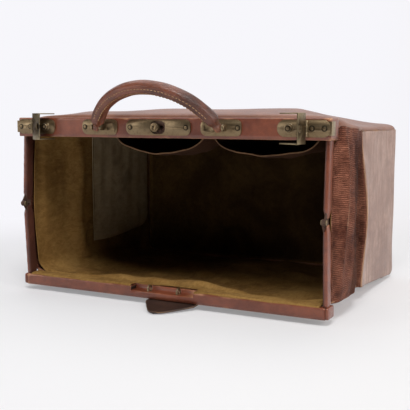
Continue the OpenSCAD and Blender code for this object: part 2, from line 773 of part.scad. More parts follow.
module claw_plate(side) {
  seat() color(brass) on_side(side) difference() {
    union() {
      crowned_plate(half - claw_plate_len, half, plate_h * 0.45);
      block([half, -plate_t + 1.4, face_z - plate_h / 2 + 2], [half + 1.3, 12, face_z + plate_h / 2 - 2]);
      block([half - 6, -plate_t + 1.4, face_z - plate_h / 2 + 2], [half + 0.1, 0, face_z + plate_h / 2 - 2]);
      for (z = [face_z - knuckle_h / 2 - knuckle_end, face_z + knuckle_h / 2 + knuckle_gap]) {
        rod_z(claw_x, claw_y, z, z + knuckle_end - knuckle_gap, knuckle_r);
        block([claw_x - knuckle_r, claw_y, z], [claw_x + knuckle_r, 0, z + knuckle_end - knuckle_gap]);
      }
    }
    rod_z(claw_x, claw_y, face_z - plate_h, face_z + plate_h, claw_pin_r + run_gap);
    rivet_bores();
  }
}
module claw_plate_left() { claw_plate(-1); }
module claw_plate_right() { claw_plate(1); }

module claw_pins() {
  pin_half = knuckle_h / 2 + knuckle_end + knuckle_gap;
  seat() color(steel) both_sides()
    rod_z(claw_x, claw_y, face_z - pin_half, face_z + pin_half, claw_pin_r);
}
module claw_studs() {
  x = claw_x - stud_in;
  seat() color(brass) both_sides() {
    rod_y(x, -plate_t - 0.8, wall, face_z, rivet_r);
    rod_y(x, -plate_t - 1, -plate_t, face_z, stud_r + 1.8);
    rod_y(x, -plate_t - 4.4, -plate_t - 0.9, face_z, stud_r);
  }
}

// Claw for +X: a web on the hinge, with a tapering flange along its upper and its lower edge.
module claw(side, turn) {
  root = knuckle_r + 0.5;
  seat() color(brass) on_side(side) translate([claw_x, claw_y, 0]) rotate([0, 0, -turn]) difference() {
    union() {
      rod_z(0, 0, face_z - knuckle_h / 2, face_z + knuckle_h / 2, knuckle_r);
      block([-claw_t / 2, -root - 1, face_z - knuckle_h / 2], [claw_t / 2, 0, face_z + knuckle_h / 2]);
      block([-claw_t / 2, -claw_reach, claw_z0 - claw_t], [claw_t / 2, -root, claw_z1 + claw_t]);
      for (z = [claw_z0 - claw_t, claw_z1]) translate([0, 0, z]) linear_extrude(claw_t)
        polygon([[claw_t / 2, -claw_reach], [claw_t / 2, -root], [-claw_t / 2, -root],
                 [-flange_len - claw_t / 2, -claw_reach * 0.5], [-flange_len - claw_t / 2, -claw_reach * 0.6],
                 [-3, -claw_reach]]);
    }
    rod_z(0, 0, face_z - knuckle_h, face_z + knuckle_h, claw_pin_r + run_gap);
    rod_x(-claw_t, claw_t, -stud_in, face_z, stud_r + 0.4);
  }
}
module claw_left() { claw(-1, claw_left_turn); }
module claw_right() { claw(1, 0); }

lower_jaw_channel();
lower_jaw_cover();
staple_plate();
staples();
pull_tab();
lower_corner_pins();
bottom_panel();
base_panel();
base_board();
end_board_left();
end_board_right();
gusset_left();
gusset_right();
seam_piping();
lining_bottom();
lining_back();
lining_left();
lining_right();
facing_left();
facing_right();
lower_arm_left();
lower_arm_right();
lower_sleeve_left();
lower_sleeve_right();
knee_pin_left();
knee_pin_right();
upper_arm_left();
upper_arm_right();
upper_sleeve_left();
upper_sleeve_right();
upper_jaw_channel();
upper_jaw_cover();
upper_corner_pins();
plate_rivets();
lock_plate();
lock_case();
lock_spring();
lock_button();
lock_bolt();
handle_plates();
handle_bars();
handle_grip();
handle_core();
claw_plate_left();
claw_plate_right();
claw_pins();
claw_studs();
claw_left();
claw_right();
top_panel();
lining_top();
pocket_left();
pocket_right();
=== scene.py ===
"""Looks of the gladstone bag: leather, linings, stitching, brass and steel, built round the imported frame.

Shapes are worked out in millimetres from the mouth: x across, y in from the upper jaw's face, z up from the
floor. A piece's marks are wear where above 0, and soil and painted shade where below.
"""

import json
import math

import bmesh
import bpy
import numpy as np
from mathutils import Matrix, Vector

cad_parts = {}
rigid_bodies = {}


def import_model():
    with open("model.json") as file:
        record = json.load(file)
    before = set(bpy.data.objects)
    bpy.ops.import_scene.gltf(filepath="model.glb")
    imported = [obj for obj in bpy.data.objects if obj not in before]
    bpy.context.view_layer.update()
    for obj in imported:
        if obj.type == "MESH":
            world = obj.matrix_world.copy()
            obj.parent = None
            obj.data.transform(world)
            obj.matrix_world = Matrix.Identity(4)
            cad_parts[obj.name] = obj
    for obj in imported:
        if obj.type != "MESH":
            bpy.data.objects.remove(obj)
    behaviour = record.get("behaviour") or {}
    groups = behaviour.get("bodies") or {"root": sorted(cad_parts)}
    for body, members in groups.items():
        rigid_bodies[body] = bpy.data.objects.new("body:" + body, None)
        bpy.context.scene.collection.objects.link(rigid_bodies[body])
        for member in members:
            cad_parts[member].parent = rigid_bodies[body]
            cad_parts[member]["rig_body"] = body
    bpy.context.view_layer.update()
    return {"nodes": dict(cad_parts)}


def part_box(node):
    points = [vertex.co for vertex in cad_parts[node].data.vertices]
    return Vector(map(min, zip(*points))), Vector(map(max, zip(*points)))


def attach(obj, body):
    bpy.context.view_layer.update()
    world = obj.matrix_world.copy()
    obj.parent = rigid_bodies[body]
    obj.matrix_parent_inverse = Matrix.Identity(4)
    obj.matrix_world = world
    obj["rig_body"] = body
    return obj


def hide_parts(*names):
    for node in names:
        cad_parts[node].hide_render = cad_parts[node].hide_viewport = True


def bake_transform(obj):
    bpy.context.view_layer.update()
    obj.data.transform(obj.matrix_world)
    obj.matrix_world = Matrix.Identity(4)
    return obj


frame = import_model()

MM = 0.001
MOUTH = np.array([0.0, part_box("upper_jaw_cover")[0].y, 0.0])


def cad(node):
    """Lowest and highest corner of a CAD node, in millimetres from the mouth."""
    lo, hi = (np.array(corner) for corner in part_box(node))
    return (lo - MOUTH) / MM, (hi - MOUTH) / MM


def place(points):
    """Millimetres from the mouth to metres in the frame."""
    return np.asarray(points, float) * MM + MOUTH


# Sizes from the frame

JAW_LO, JAW_HI = cad("upper_jaw_cover")
LOW_LO, LOW_HI = cad("lower_jaw_cover")
END_LO, END_HI = cad("end_board_right")
PLATE_LO, PLATE_HI = cad("lock_plate")
BAR_LO, BAR_HI = cad("handle_bars")
HALF_JAW, JAW_BACK, JAW_TOP = JAW_HI
DEPTH, BASE_TOP = cad("base_panel")[1][1:]
NOTCH_HI = cad("staple_plate")[1]
HALF_NOTCH, NOTCH_Z = NOTCH_HI[0] - 4.0, NOTCH_HI[2]
SEAM_Y = END_LO[1]
END_X = END_HI[0]
FACE_Z = (PLATE_LO[2] + PLATE_HI[2]) / 2

# Thicknesses

HIDE_T = 3.0
SKIN_T = 1.4
CLOTH_T = 1.2

# The base's rounded long edges

TOP_R = 7.0
LOW_R = 20.0

# Mouth frame: the notch's rear, the arms' openings, the middle hinges, the arms' pivots and their lean

NOTCH_Y = 18.4
ARMS_X = 222.0
DOOR_X = 213.9
KNEE_Z = 123.0
ARM_PIVOTS_Z = {"lower": 13.0, "upper": 233.0}
ARM_PIVOT_Y = 15.0
ARM_LEAN = 6.0 / 110.0

# The plates' rivets, and the pitches of ribs and weave

RIVETS_X = (40.5, 110.5, 175.5, 203.0, 218.0)
RIVET_R = 2.8
RIB_PITCH = 2.3
WEAVE_PITCH = 1.1


# Plain maths

def ease(t):
    """From 0 to 1 with level ends: 3 t squared less 2 t cubed, held outside 0 to 1."""
    t = np.clip(t, 0.0, 1.0)
    return t * t * (3 - 2 * t)


def bell(t):
    """Bell curve of height 1: e to the minus t squared."""
    return np.exp(-np.square(t))


def arch(t, power):
    """Half wave over 0 to 1, raised to a power."""
    return np.sin(np.pi * t) ** power


def signed(value, power):
    """Power of a number's size, with the number's own sign."""
    return np.sign(value) * np.abs(value) ** power


def whole(low, high, step):
    """Even steps from low to high, both kept."""
    return np.linspace(low, high, max(2, int(round((high - low) / step)) + 1))


def around(count):
    """Even angles round one full turn."""
    return np.arange(count) * 2 * np.pi / count


def ripple(a, b, seed):
    """Smooth unevenness of about -1 to 1: a sum of sines of (k a + l b + phase), with k, l and phase drawn
    from a seed."""
    waves = 7
    rng = np.random.default_rng(seed)
    k = rng.uniform(0.6, 2.2, (2, waves)) * rng.choice([-1, 1], (2, waves))
    phase = rng.uniform(0, 2 * np.pi, waves)
    total = np.sin(np.multiply.outer(a, k[0]) + np.multiply.outer(b, k[1]) + phase).sum(-1)
    return total / (0.9 * waves ** 0.5)


def unit(v):
    """Vectors of length 1."""
    return v / np.maximum(np.linalg.norm(v, axis=-1, keepdims=True), 1e-12)


def grid_normals(grid):
    """Normal of a grid of points: the cross product of its two directions."""
    return unit(np.cross(np.gradient(grid, axis=0), np.gradient(grid, axis=1)))


def grid_quads(rows, cols, ring=False):
    """Four corners of every cell of a grid, row by row, each row closed round where it is a ring."""
    i, j = np.meshgrid(np.arange(rows - 1) * cols, np.arange(cols - (not ring)), indexing="ij")
    j2 = (j + 1) % cols
    return np.stack([i + j, i + cols + j, i + cols + j2, i + j2], -1).reshape(-1, 4)


def carried(line, x):
    """Grid of a profile of (y, z) points carried straight across, with a column at each x."""
    return np.stack(np.broadcast_arrays(x, line[:, :1], line[:, 1:]), -1)


def oblong(wide, tall, power, count):
    """Section between an ellipse and a rectangle: cosine and sine by a signed power, which at 1 is an
    ellipse."""
    a = around(count)
    return np.stack([signed(np.cos(a), power) * wide, signed(np.sin(a), power) * tall], -1)


# Meshes

def new_object(name, mesh, finish):
    """Object of a mesh at the origin, in its one finish."""
    obj = bpy.data.objects.new(name, mesh)
    bpy.context.scene.collection.objects.link(obj)
    mesh.materials.clear()
    mesh.materials.append(finish)
    return obj


def add_piece(name, points, quads, finish, marks=None):
    """Object from points in millimetres from the mouth: doubles merged, faces outward, its rest place and
    its marks kept as attributes."""
    points = place(np.asarray(points, float).reshape(-1, 3))
    marks = np.zeros(len(points)) if marks is None else np.asarray(marks, float).ravel()
    mesh = bpy.data.meshes.new(name)
    mesh.from_pydata(points.tolist(), [], clean_faces(quads))
    # Marks below 0 go to an attribute of soil and painted shade.
    for label, share in (("wear", marks), ("soil_and_shade", -marks)):
        mesh.attributes.new(label, "FLOAT", "POINT").data.foreach_set("value", np.clip(share, 0, 1))
    tidy(mesh)
    keep_rest(mesh)
    return new_object(name, mesh, finish)


def clean_faces(quads):
    """Faces without repeated corners: a quad that meets itself becomes a triangle, or is dropped."""
    quads = np.asarray(quads)
    own = quads != np.roll(quads, -1, axis=1)
    open_ones = (quads[:, 0] != quads[:, 2]) & (quads[:, 1] != quads[:, 3])
    three = (own.sum(1) == 3) & open_ones
    return quads[own.all(1) & open_ones].tolist() + quads[three][own[three]].reshape(-1, 3).tolist()


def tidy(mesh):
    """Merges doubles, drops empty faces, turns the normals outwards and shades smooth."""
    merge = 0.002 * MM
    bm = bmesh.new()
    bm.from_mesh(mesh)
    bmesh.ops.remove_doubles(bm, verts=bm.verts, dist=merge)
    bmesh.ops.dissolve_degenerate(bm, edges=bm.edges, dist=merge)
    bmesh.ops.recalc_face_normals(bm, faces=bm.faces)
    bm.to_mesh(mesh)
    bm.free()
    mesh.shade_smooth()


def array_of(items, key, width, kind=float):
    """One value of all the points or edges of a mesh, as an array with width columns."""
    values = np.zeros(len(items) * width, kind)
    items.foreach_get(key, values)
    return values.reshape(-1, width)


def keep_rest(mesh):
    """Stores where each point lies at rest, for patterns that follow the piece as it bends."""
    rest = mesh.attributes.get("rest") or mesh.attributes.new("rest", "FLOAT_VECTOR", "POINT")
    rest.data.foreach_set("vector", array_of(mesh.vertices, "co", 3, np.float32).ravel())


def between_skins(outer, inner, quads, swell=0.35, marks=None):
    """Closed body between two like-numbered skins. Along every free edge two narrow strips meet on a raw
    edge, halfway between the skins and pushed out by swell times the thickness. Returns points, quads and
    marks."""
    outer, inner = outer.reshape(-1, 3), inner.reshape(-1, 3)
    marks = np.zeros(len(outer)) if marks is None else np.asarray(marks, float).ravel()
    first, same = np.unique(np.round(outer, 4), axis=0, return_index=True, return_inverse=True)[1:]
    quads = first[same.reshape(-1)][quads]
    edges = np.concatenate([quads[:, [k, (k + 1) % 4]] for k in range(4)])
    face = np.tile(np.arange(len(quads)), 4)
    real = edges[:, 0] != edges[:, 1]
    edges, face = edges[real], face[real]
    index, count = np.unique(np.sort(edges, axis=1), axis=0, return_index=True, return_counts=True)[1:]
    free = edges[index[count == 1]]
    away = unit(outer[free].mean(1) - outer[quads[face[index[count == 1]]]].mean(1))
    push = np.zeros_like(outer)
    for corner in free.T:
        np.add.at(push, corner, away)
    thick = np.linalg.norm(outer - inner, axis=1, keepdims=True)
    raw = (outer + inner) / 2 + unit(push) * thick * swell
    n = len(outer)
    a, b = free.T
    strips = [np.stack([b, a, a + 2 * n, b + 2 * n], -1), np.stack([b + 2 * n, a + 2 * n, a + n, b + n], -1)]
    used = np.concatenate([quads, quads[:, ::-1] + n] + strips)
    edge = np.zeros(n)
    edge[free] = 0.3
    worn = np.maximum(marks, edge)
    marks = np.concatenate([np.where(edge > 0, worn, marks), np.where(edge > 0, worn, marks * 0.5),
                            np.clip(0.7 + marks, 0, 1)])
    keep, packed = np.unique(used, return_inverse=True)
    points = np.concatenate([outer, inner, raw])[keep]
    return points, packed.reshape(used.shape), marks[keep]


def sheet(name, grid, thick, finish, marks=None, swell=0.35, skip=None, flip=False):
    """Sheet of leather or cloth of the grid's shape, its thickness on the far side of the grid's normals,
    which flip turns round. Cells whose middle is in skip are left out."""
    if flip:
        grid = grid[:, ::-1]
        marks = None if marks is None else marks[:, ::-1]
    quads = grid_quads(*grid.shape[:2])
    if skip is not None:
        quads = quads[~skip(grid.reshape(-1, 3)[quads].mean(1))]
    points, quads, marks = between_skins(grid, grid - grid_normals(grid) * thick, quads, swell, marks)
    return add_piece(name, points, quads, finish, marks)


def tube(path, ring, up, scale=None):
    """Grid of a section carried along a path: point = path + a side + b lift, with side and lift square to
    the path. A last ring at each end is drawn in to the path, so the ends are closed."""
    path = np.asarray(path, float)
    along = unit(np.gradient(path, axis=0))
    side = unit(np.cross(along, np.broadcast_to(up, path.shape)))
    lift = np.cross(side, along)
    scale = np.ones(len(path)) if scale is None else scale
    section = ring[None, :, 0:1] * side[:, None] + ring[None, :, 1:2] * lift[:, None]
    grid = path[:, None] + section * scale[:, None, None]
    foot, head = (np.broadcast_to(path[k], (1, len(ring), 3)) for k in (0, -1))
    return np.concatenate([foot, grid, head])


def cord_piece(name, path, radius, finish, up=(0, 0, 1), marks=None):
    """Round piping along a path, its ends closed."""
    sides = 10
    grid = tube(path, oblong(radius, radius, 1.0, sides), up)
    if marks is not None:
        marks = np.repeat(np.concatenate([marks[:1], marks, marks[-1:]]), sides)
    return add_piece(name, grid, grid_quads(*grid.shape[:2], ring=True), finish, marks)


def resample(path, step):
    """Points an even step apart along a path, by its length."""
    run = np.concatenate([[0], np.cumsum(np.linalg.norm(np.diff(path, axis=0), axis=1))])
    at = np.linspace(0, run[-1], max(2, int(round(run[-1] / step)) + 1))
    return np.stack([np.interp(at, run, path[:, k]) for k in range(3)], -1)


def resample_like(values, count):
    """Values spread over the same run, read at a number of even places."""
    at = np.linspace(0, len(values) - 1, count)
    return np.stack([np.interp(at, np.arange(len(values)), values[:, k]) for k in range(3)], -1)


def stitches(name, path, out, finish, pitch, radius):
    """Row of stitches along a path: each a bead of four rings by five sides, lying along the path and sunk a
    little, with `out` away from the leather. The bead's radius goes from nearly 0 to full and back."""
    rings, sides, sink = 4, 5, 0.15
    points = resample(path, pitch)
    mids = (points[1:] + points[:-1]) / 2
    along = unit(points[1:] - points[:-1])
    out = resample_like(out, len(mids))
    out = unit(out - along * (out * along).sum(-1, keepdims=True))
    side = np.cross(along, out)
    reach = np.array([-0.36, -0.24, 0.24, 0.36]) * pitch
    swell = np.array([0.05, 1.0, 1.0, 0.05])[:, None] * radius
    a = around(sides)
    beads = (mids[:, None, None] + along[:, None, None] * reach[None, :, None, None]
             + side[:, None, None] * (swell * np.cos(a))[None, :, :, None]
             + out[:, None, None] * (swell * np.sin(a) - sink)[None, :, :, None])
    cap = np.array([[0, 1, 2, 3], [0, 3, 4, 4]])
    one = np.concatenate([grid_quads(rings, sides, ring=True), cap, cap + (rings - 1) * sides])
    each = np.arange(len(mids))[:, None, None] * rings * sides
    return add_piece(name, beads, (one[None] + each).reshape(-1, 4), finish)


def softened(node, width, finish):
    """The CAD node's own shape with its sharp edges rounded, in its place. Wear marks its outer edges."""
    mesh = frame["nodes"][node].data.copy()
    bm = bmesh.new()
    bm.from_mesh(mesh)
    bmesh.ops.remove_doubles(bm, verts=bm.verts, dist=0.003 * MM)
    bmesh.ops.dissolve_limit(bm, angle_limit=math.radians(1.0), verts=bm.verts, edges=bm.edges)
    bm.to_mesh(mesh)
    bm.free()
    obj = new_object(node + "_finished", mesh, finish)
    bevel = obj.modifiers.new("Rounded edges", "BEVEL")
    bevel.width = width * MM
    bevel.segments = 2
    bevel.limit_method = "ANGLE"
    bevel.angle_limit = math.radians(30)
    bevel.use_clamp_overlap = True
    graph = bpy.context.evaluated_depsgraph_get()
    made = bpy.data.meshes.new_from_object(obj.evaluated_get(graph))
    obj.modifiers.clear()
    obj.data = made
    made.name = node + "_finished"
    made.shade_smooth()
    made.set_sharp_from_angle(angle=math.radians(50))
    mark_wear(made)
    keep_rest(made)
    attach(obj, frame["nodes"][node]["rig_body"])
    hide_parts(node)


def mark_wear(mesh):
    """Wear on outward corners: the mean slope of the edges away from each point's normal, 0 to 1."""
    gain = 1.4
    co, normal = array_of(mesh.vertices, "co", 3), array_of(mesh.vertices, "normal", 3)
    a, b = array_of(mesh.edges, "vertices", 2, int).T
    along = unit(co[b] - co[a])
    total, times = np.zeros(len(co)), np.zeros(len(co))
    for end, sign in ((a, -1), (b, 1)):
        np.add.at(total, end, sign * (normal[end] * along).sum(-1))
        np.add.at(times, end, 1)
    wear = np.clip(total / np.maximum(times, 1) * gain, 0, 1)
    marks = mesh.attributes.get("wear") or mesh.attributes.new("wear", "FLOAT", "POINT")
    marks.data.foreach_set("value", wear)


# Finishes

def rgb(r, g, b):
    """Linear colour with alpha, from the 0 to 255 values of a colour as it looks."""
    c = np.array([r, g, b]) / 255
    return tuple(np.where(c <= 0.04045, c / 12.92, ((c + 0.055) / 1.055) ** 2.4)) + (1.0,)


class Nodes:
    """Short way to add nodes to a tree and to join them."""

    def __init__(self, tree):
        self.tree = tree

    def add(self, kind, settings=None, **inputs):
        node = self.tree.nodes.new(kind)
        for key, value in (settings or {}).items():
            setattr(node, key, value)
        for key, value in inputs.items():
            self.put(node.inputs[key], value)
        return node

    def put(self, socket, value):
        if isinstance(value, bpy.types.NodeSocket):
            self.tree.links.new(value, socket)
        else:
            socket.default_value = value

    def chain(self, kind, settings, values, output=0):
        """Node with its first inputs given in order. Returns one of its outputs."""
        node = self.add(kind, settings)
        for socket, value in zip(node.inputs, values):
            self.put(socket, value)
        return node.outputs[output]

    def maths(self, how, *values, clamp=False):
        return self.chain("ShaderNodeMath", {"operation": how, "use_clamp": clamp}, values)

    def vectors(self, how, *values, output="Vector"):
        return self.chain("ShaderNodeVectorMath", {"operation": how}, values, output)

    def plus(self, a, b):
        return self.maths("ADD", a, b)

    def minus(self, a, b):
        return self.maths("SUBTRACT", a, b)

    def times(self, a, b):
        return self.maths("MULTIPLY", a, b)

    def times_plus(self, a, b, c, clamp=False):
        return self.maths("MULTIPLY_ADD", a, b, c, clamp=clamp)

    def noise(self, vector, scale, detail=3.0, rough=0.55, warp=0.0):
        return self.add("ShaderNodeTexNoise", Vector=vector, Scale=scale, Detail=detail, Roughness=rough,
                        Distortion=warp).outputs["Fac"]

    def attribute(self, name, output):
        return self.add("ShaderNodeAttribute", {"attribute_name": name}).outputs[output]

    def coordinates(self, output):
        return self.add("ShaderNodeTexCoord").outputs[output]

    def scaled(self, vector, x, y, z):
        return self.vectors("MULTIPLY", vector, (x, y, z))

    def apart(self, vector):
        return self.add("ShaderNodeSeparateXYZ", Vector=vector).outputs

    def span(self, value, low, high, to_low=0.0, to_high=1.0):
        """Eased step of a value from to_low at low to to_high at high."""
        return self.chain("ShaderNodeMapRange", {"interpolation_type": "SMOOTHSTEP"},
                          (value, low, high, to_low, to_high), "Result")

    def blend(self, amount, a, b):
        """Mix of two colours. The node's colours are its inputs 6 and 7 and its output 2."""
        node = self.add("ShaderNodeMix", {"data_type": "RGBA"})
        for k, value in ((0, amount), (6, a), (7, b)):
            self.put(node.inputs[k], value)
        return node.outputs[2]

    def give(self, out, colour, rough, height):
        """Joins a finish group's three outputs and returns its tree."""
        for label, value in (("Color", colour), ("Roughness", rough), ("Height", height)):
            self.put(out[label], value)
        return self.tree


def group(name, colours, numbers):
    """Node group of a finish: it takes a place, colours and numbers, and gives colour, roughness and
    height."""
    tree = bpy.data.node_groups.new(name, "ShaderNodeTree")
    for kind, labels in (("Vector", ("Vector",)), ("Color", colours), ("Float", numbers)):
        for label in labels:
            tree.interface.new_socket(name=label, in_out="INPUT", socket_type="NodeSocket" + kind)
    for label, kind in (("Color", "Color"), ("Roughness", "Float"), ("Height", "Float")):
        tree.interface.new_socket(name=label, in_out="OUTPUT", socket_type="NodeSocket" + kind)
    return Nodes(tree), tree.nodes.new("NodeGroupInput").outputs, tree.nodes.new("NodeGroupOutput").inputs


def hide_group():
    """Leather: cloudy dye, pebbled or ribbed grain, fine creases, upright streaks, a pale raw colour where
    it is worn, and a dark one for soil and painted shade."""
    n, given, out = group("Hide", ("Dye", "Deep", "Raw"),
                          ("Grain", "Ribs", "Streaks", "Wear", "Soil and shade", "Gloss"))
    at = given["Vector"]
    clouds = n.noise(at, 14.0, 4.0, 0.6, 0.4)
    spots = n.noise(at, 75.0, 5.0, 0.65)
    rub = n.noise(n.scaled(at, 1.0, 1.0, 0.35), 40.0, 3.0)
    cells = n.add("ShaderNodeTexVoronoi", {"feature": "DISTANCE_TO_EDGE"}, Vector=at, Scale=780.0)
    pebble = n.span(cells.outputs["Distance"], 0.0, 0.32)
    fine = n.noise(at, 2600.0, 2.0)
    crease = n.noise(n.scaled(at, 1.0, 1.0, 5.0), 60.0, 4.0, 0.6, 1.4)
    crease = n.span(n.maths("ABSOLUTE", n.minus(crease, 0.5)), 0.0, 0.035)
    swayed = n.plus(n.apart(at)["Z"], n.times(n.noise(at, 55.0, 2.0), 0.0042))
    rib = n.maths("SINE", n.times(swayed, 2 * math.pi / (RIB_PITCH * MM)))
    rib = n.times_plus(rib, 0.5, 0.5)
    upright = n.span(n.noise(n.scaled(at, 1.0, 1.0, 0.12), 190.0, 4.0, 0.6), 0.42, 0.6)
    tone = n.span(n.plus(n.times(clouds, 0.65), n.times(spots, 0.45)), 0.36, 0.74)
    colour = n.blend(tone, given["Deep"], given["Dye"])
    # In ribbed leather the troughs between ribs darken towards Deep: painted shade between the ribs.
    for share in (n.times(n.minus(1.0, pebble), n.times(given["Grain"], 0.35)),
                  n.times(n.minus(1.0, rib), n.times(given["Ribs"], 0.7)),
                  n.times(n.minus(1.0, crease), 0.35),
                  n.times(upright, n.times(given["Streaks"], 0.55))):
        colour = n.blend(share, colour, given["Deep"])
    patch = n.times_plus(n.minus(rub, 0.5), 1.5, given["Wear"])
    bare = n.times(n.span(patch, 0.32, 0.85), n.span(given["Wear"], 0.02, 0.3))
    colour = n.blend(bare, colour, given["Raw"])
    # Dark colour for soil and painted shade, where the marks are below 0.
    soil_and_shade_share = n.times(given["Soil and shade"], n.span(rub, 0.3, 0.6, 0.93, 1.0))
    colour = n.blend(soil_and_shade_share, colour, rgb(22, 10, 7))
    rough = n.times_plus(spots, 0.26, n.minus(given["Gloss"], 0.13))
    rough = n.times_plus(bare, 0.3, rough)
    rough = n.times_plus(soil_and_shade_share, 0.4, rough, clamp=True)
    height = n.times(pebble, n.times(given["Grain"], 0.5))
    for relief, share in ((rib, n.times(given["Ribs"], 1.3)), (fine, 0.12), (crease, 0.5)):
        height = n.times_plus(relief, share, height)
    return n.give(out, colour, rough, height)


def metal_group():
    """Old metal: bright where rubbed, dark with tarnish in patches and pits, and finely scratched."""
    n, given, out = group("Old metal", ("Bright", "Base", "Tarnish"), ("Age", "Wear", "Gloss", "Grime and shade"))
    at = given["Vector"]
    patches = n.noise(at, 210.0, 6.0, 0.7, 0.3)
    pits = n.noise(at, 900.0, 3.0, 0.6)
    hair = n.noise(n.scaled(at, 0.06, 1.0, 1.0), 2600.0, 2.0, 0.6)
    age = n.span(n.times_plus(n.minus(given["Age"], 0.5), 0.5, patches), 0.42, 0.72)
    colour = n.blend(age, given["Base"], given["Tarnish"])
    rubbed = n.times(n.span(given["Wear"], 0.05, 0.5), 0.75)
    colour = n.blend(rubbed, colour, given["Bright"])
    specks = n.times(n.span(pits, 0.58, 0.72), 0.35)
    colour = n.blend(specks, colour, given["Tarnish"])
    # Grime and painted shade in the rings round the rivets' heads.
    colour = n.blend(given["Grime and shade"], colour, rgb(30, 23, 16))
    rough = n.times_plus(age, 0.22, given["Gloss"])
    rough = n.times_plus(hair, 0.16, rough, clamp=True)
    return n.give(out, colour, rough, n.times_plus(pits, -0.5, n.times(hair, 0.4)))


def nap_group():
    """Suede or cloth: a short uneven nap, a faint weave if asked for, broad stained patches, and a dark
    colour for soil and painted shade.
    """
    n, given, out = group("Nap", ("Pale", "Deep", "Stain"), ("Weave", "Wear", "Soil and shade"))
    at = given["Vector"]
    broad = n.noise(at, 11.0, 4.0, 0.55, 0.6)
    patches = n.noise(at, 26.0, 5.0, 0.6, 0.8)
    brushed = n.noise(n.scaled(at, 1.0, 0.4, 1.0), 190.0, 4.0, 0.7, 0.8)
    nap = n.noise(at, 1700.0, 3.0, 0.7)
    axes = n.apart(at)
    across, along, down = (n.maths("SINE", n.times(axes[axis], 2 * math.pi / (WEAVE_PITCH * MM)))
                           for axis in "YXZ")
    weave = n.times(n.plus(n.plus(across, along), down), n.times(given["Weave"], 0.3))
    tone = n.plus(n.times(broad, 0.6), n.times(brushed, 0.5))
    colour = n.blend(n.span(tone, 0.36, 0.76), given["Deep"], given["Pale"])
    colour = n.blend(n.times(n.span(patches, 0.5, 0.78), 0.6), colour, given["Stain"])
    colour = n.blend(n.times(given["Wear"], 0.4), colour, given["Pale"])
    # Dark colour for soil and painted shade.
    colour = n.blend(n.times(given["Soil and shade"], n.span(broad, 0.3, 0.7, 1.0, 0.85)), colour, rgb(30, 18, 9))
    rough = n.times_plus(nap, 0.12, 0.84, clamp=True)
    return n.give(out, colour, rough, n.times_plus(nap, 0.7, n.times_plus(brushed, 0.5, weave)))


HIDE = hide_group()
METAL = metal_group()
NAP = nap_group()


def rivet_grime_and_shade(n, at):
    """Share of grime and painted shade in rings round the plates' rivets: near their heads' radius
    from the nearest rivet's middle."""
    axes = n.apart(at)
    across = n.maths("ABSOLUTE", axes["X"])
    up = n.minus(axes["Z"], FACE_Z * MM)
    near = 1.0
    for rivet_x in RIVETS_X:
        over = n.minus(across, rivet_x * MM)
        near = n.maths("MINIMUM", near, n.maths("SQRT", n.plus(n.times(over, over), n.times(up, up))))
    ring = n.maths("ABSOLUTE", n.minus(near, RIVET_R * MM))
    return n.span(ring, 0.0004, 0.0012, 0.85, 0.0)


def finish(name, tree, rest=True, bump=0.0002, strength=0.6, metallic=0.0, shader=None, **values):
    """Material from one of the groups. Patterns follow the stored rest place, or the object's own
    coordinates. Colours among the group's values are 0 to 255."""
    material = bpy.data.materials.new(name)
    material.use_nodes = True
    n = Nodes(material.node_tree)
    use = n.add("ShaderNodeGroup", {"node_tree": tree})
    at = n.attribute("rest", "Vector") if rest else n.coordinates("Object")
    given = {key: rgb(*value) if isinstance(value, tuple) else value for key, value in values.items()}
    given["Vector"] = at
    if rest:
        given["Wear"] = n.attribute("wear", "Fac")
        # Rings of grime and painted shade round the rivets.
        if tree == METAL:
            given["Grime and shade"] = rivet_grime_and_shade(n, at)
        else:
            # Soil and painted shade from the piece's marks below 0.
            given["Soil and shade"] = n.attribute("soil_and_shade", "Fac")
    for key, value in given.items():
        n.put(use.inputs[key], value)
    raised = n.add("ShaderNodeBump", Strength=strength, Distance=bump, Height=use.outputs["Height"])
    surface = {"Base Color": use.outputs["Color"], "Roughness": use.outputs["Roughness"],
               "Normal": raised.outputs["Normal"], "Metallic": metallic} | (shader or {})
    for key, value in surface.items():
        n.put(material.node_tree.nodes["Principled BSDF"].inputs[key], value)
    return material


hide_jaw = finish("Jaw leather", HIDE, Dye=(138, 74, 48), Deep=(98, 46, 28), Raw=(180, 128, 92), Grain=0.25,
                  Gloss=0.36, bump=0.00012, shader={"Coat Weight": 0.35, "Coat Roughness": 0.2})
hide_smooth = finish("Stiff leather", HIDE, Dye=(146, 98, 76), Deep=(108, 66, 48), Raw=(170, 126, 88),
                     Grain=0.5, Gloss=0.44, shader={"Coat Weight": 0.12, "Coat Roughness": 0.4})
# Pale Dye, dark Deep, specular all but off: the ribs' light and dark bands are painted highlight and shade.
hide_ribbed = finish("Ribbed leather", HIDE, Dye=(176, 116, 92), Deep=(72, 34, 24), Raw=(206, 160, 128),
                     Grain=0.3, Ribs=1.0, Gloss=0.5, bump=0.0007, strength=1.0,
                     shader={"Specular IOR Level": 0.04})
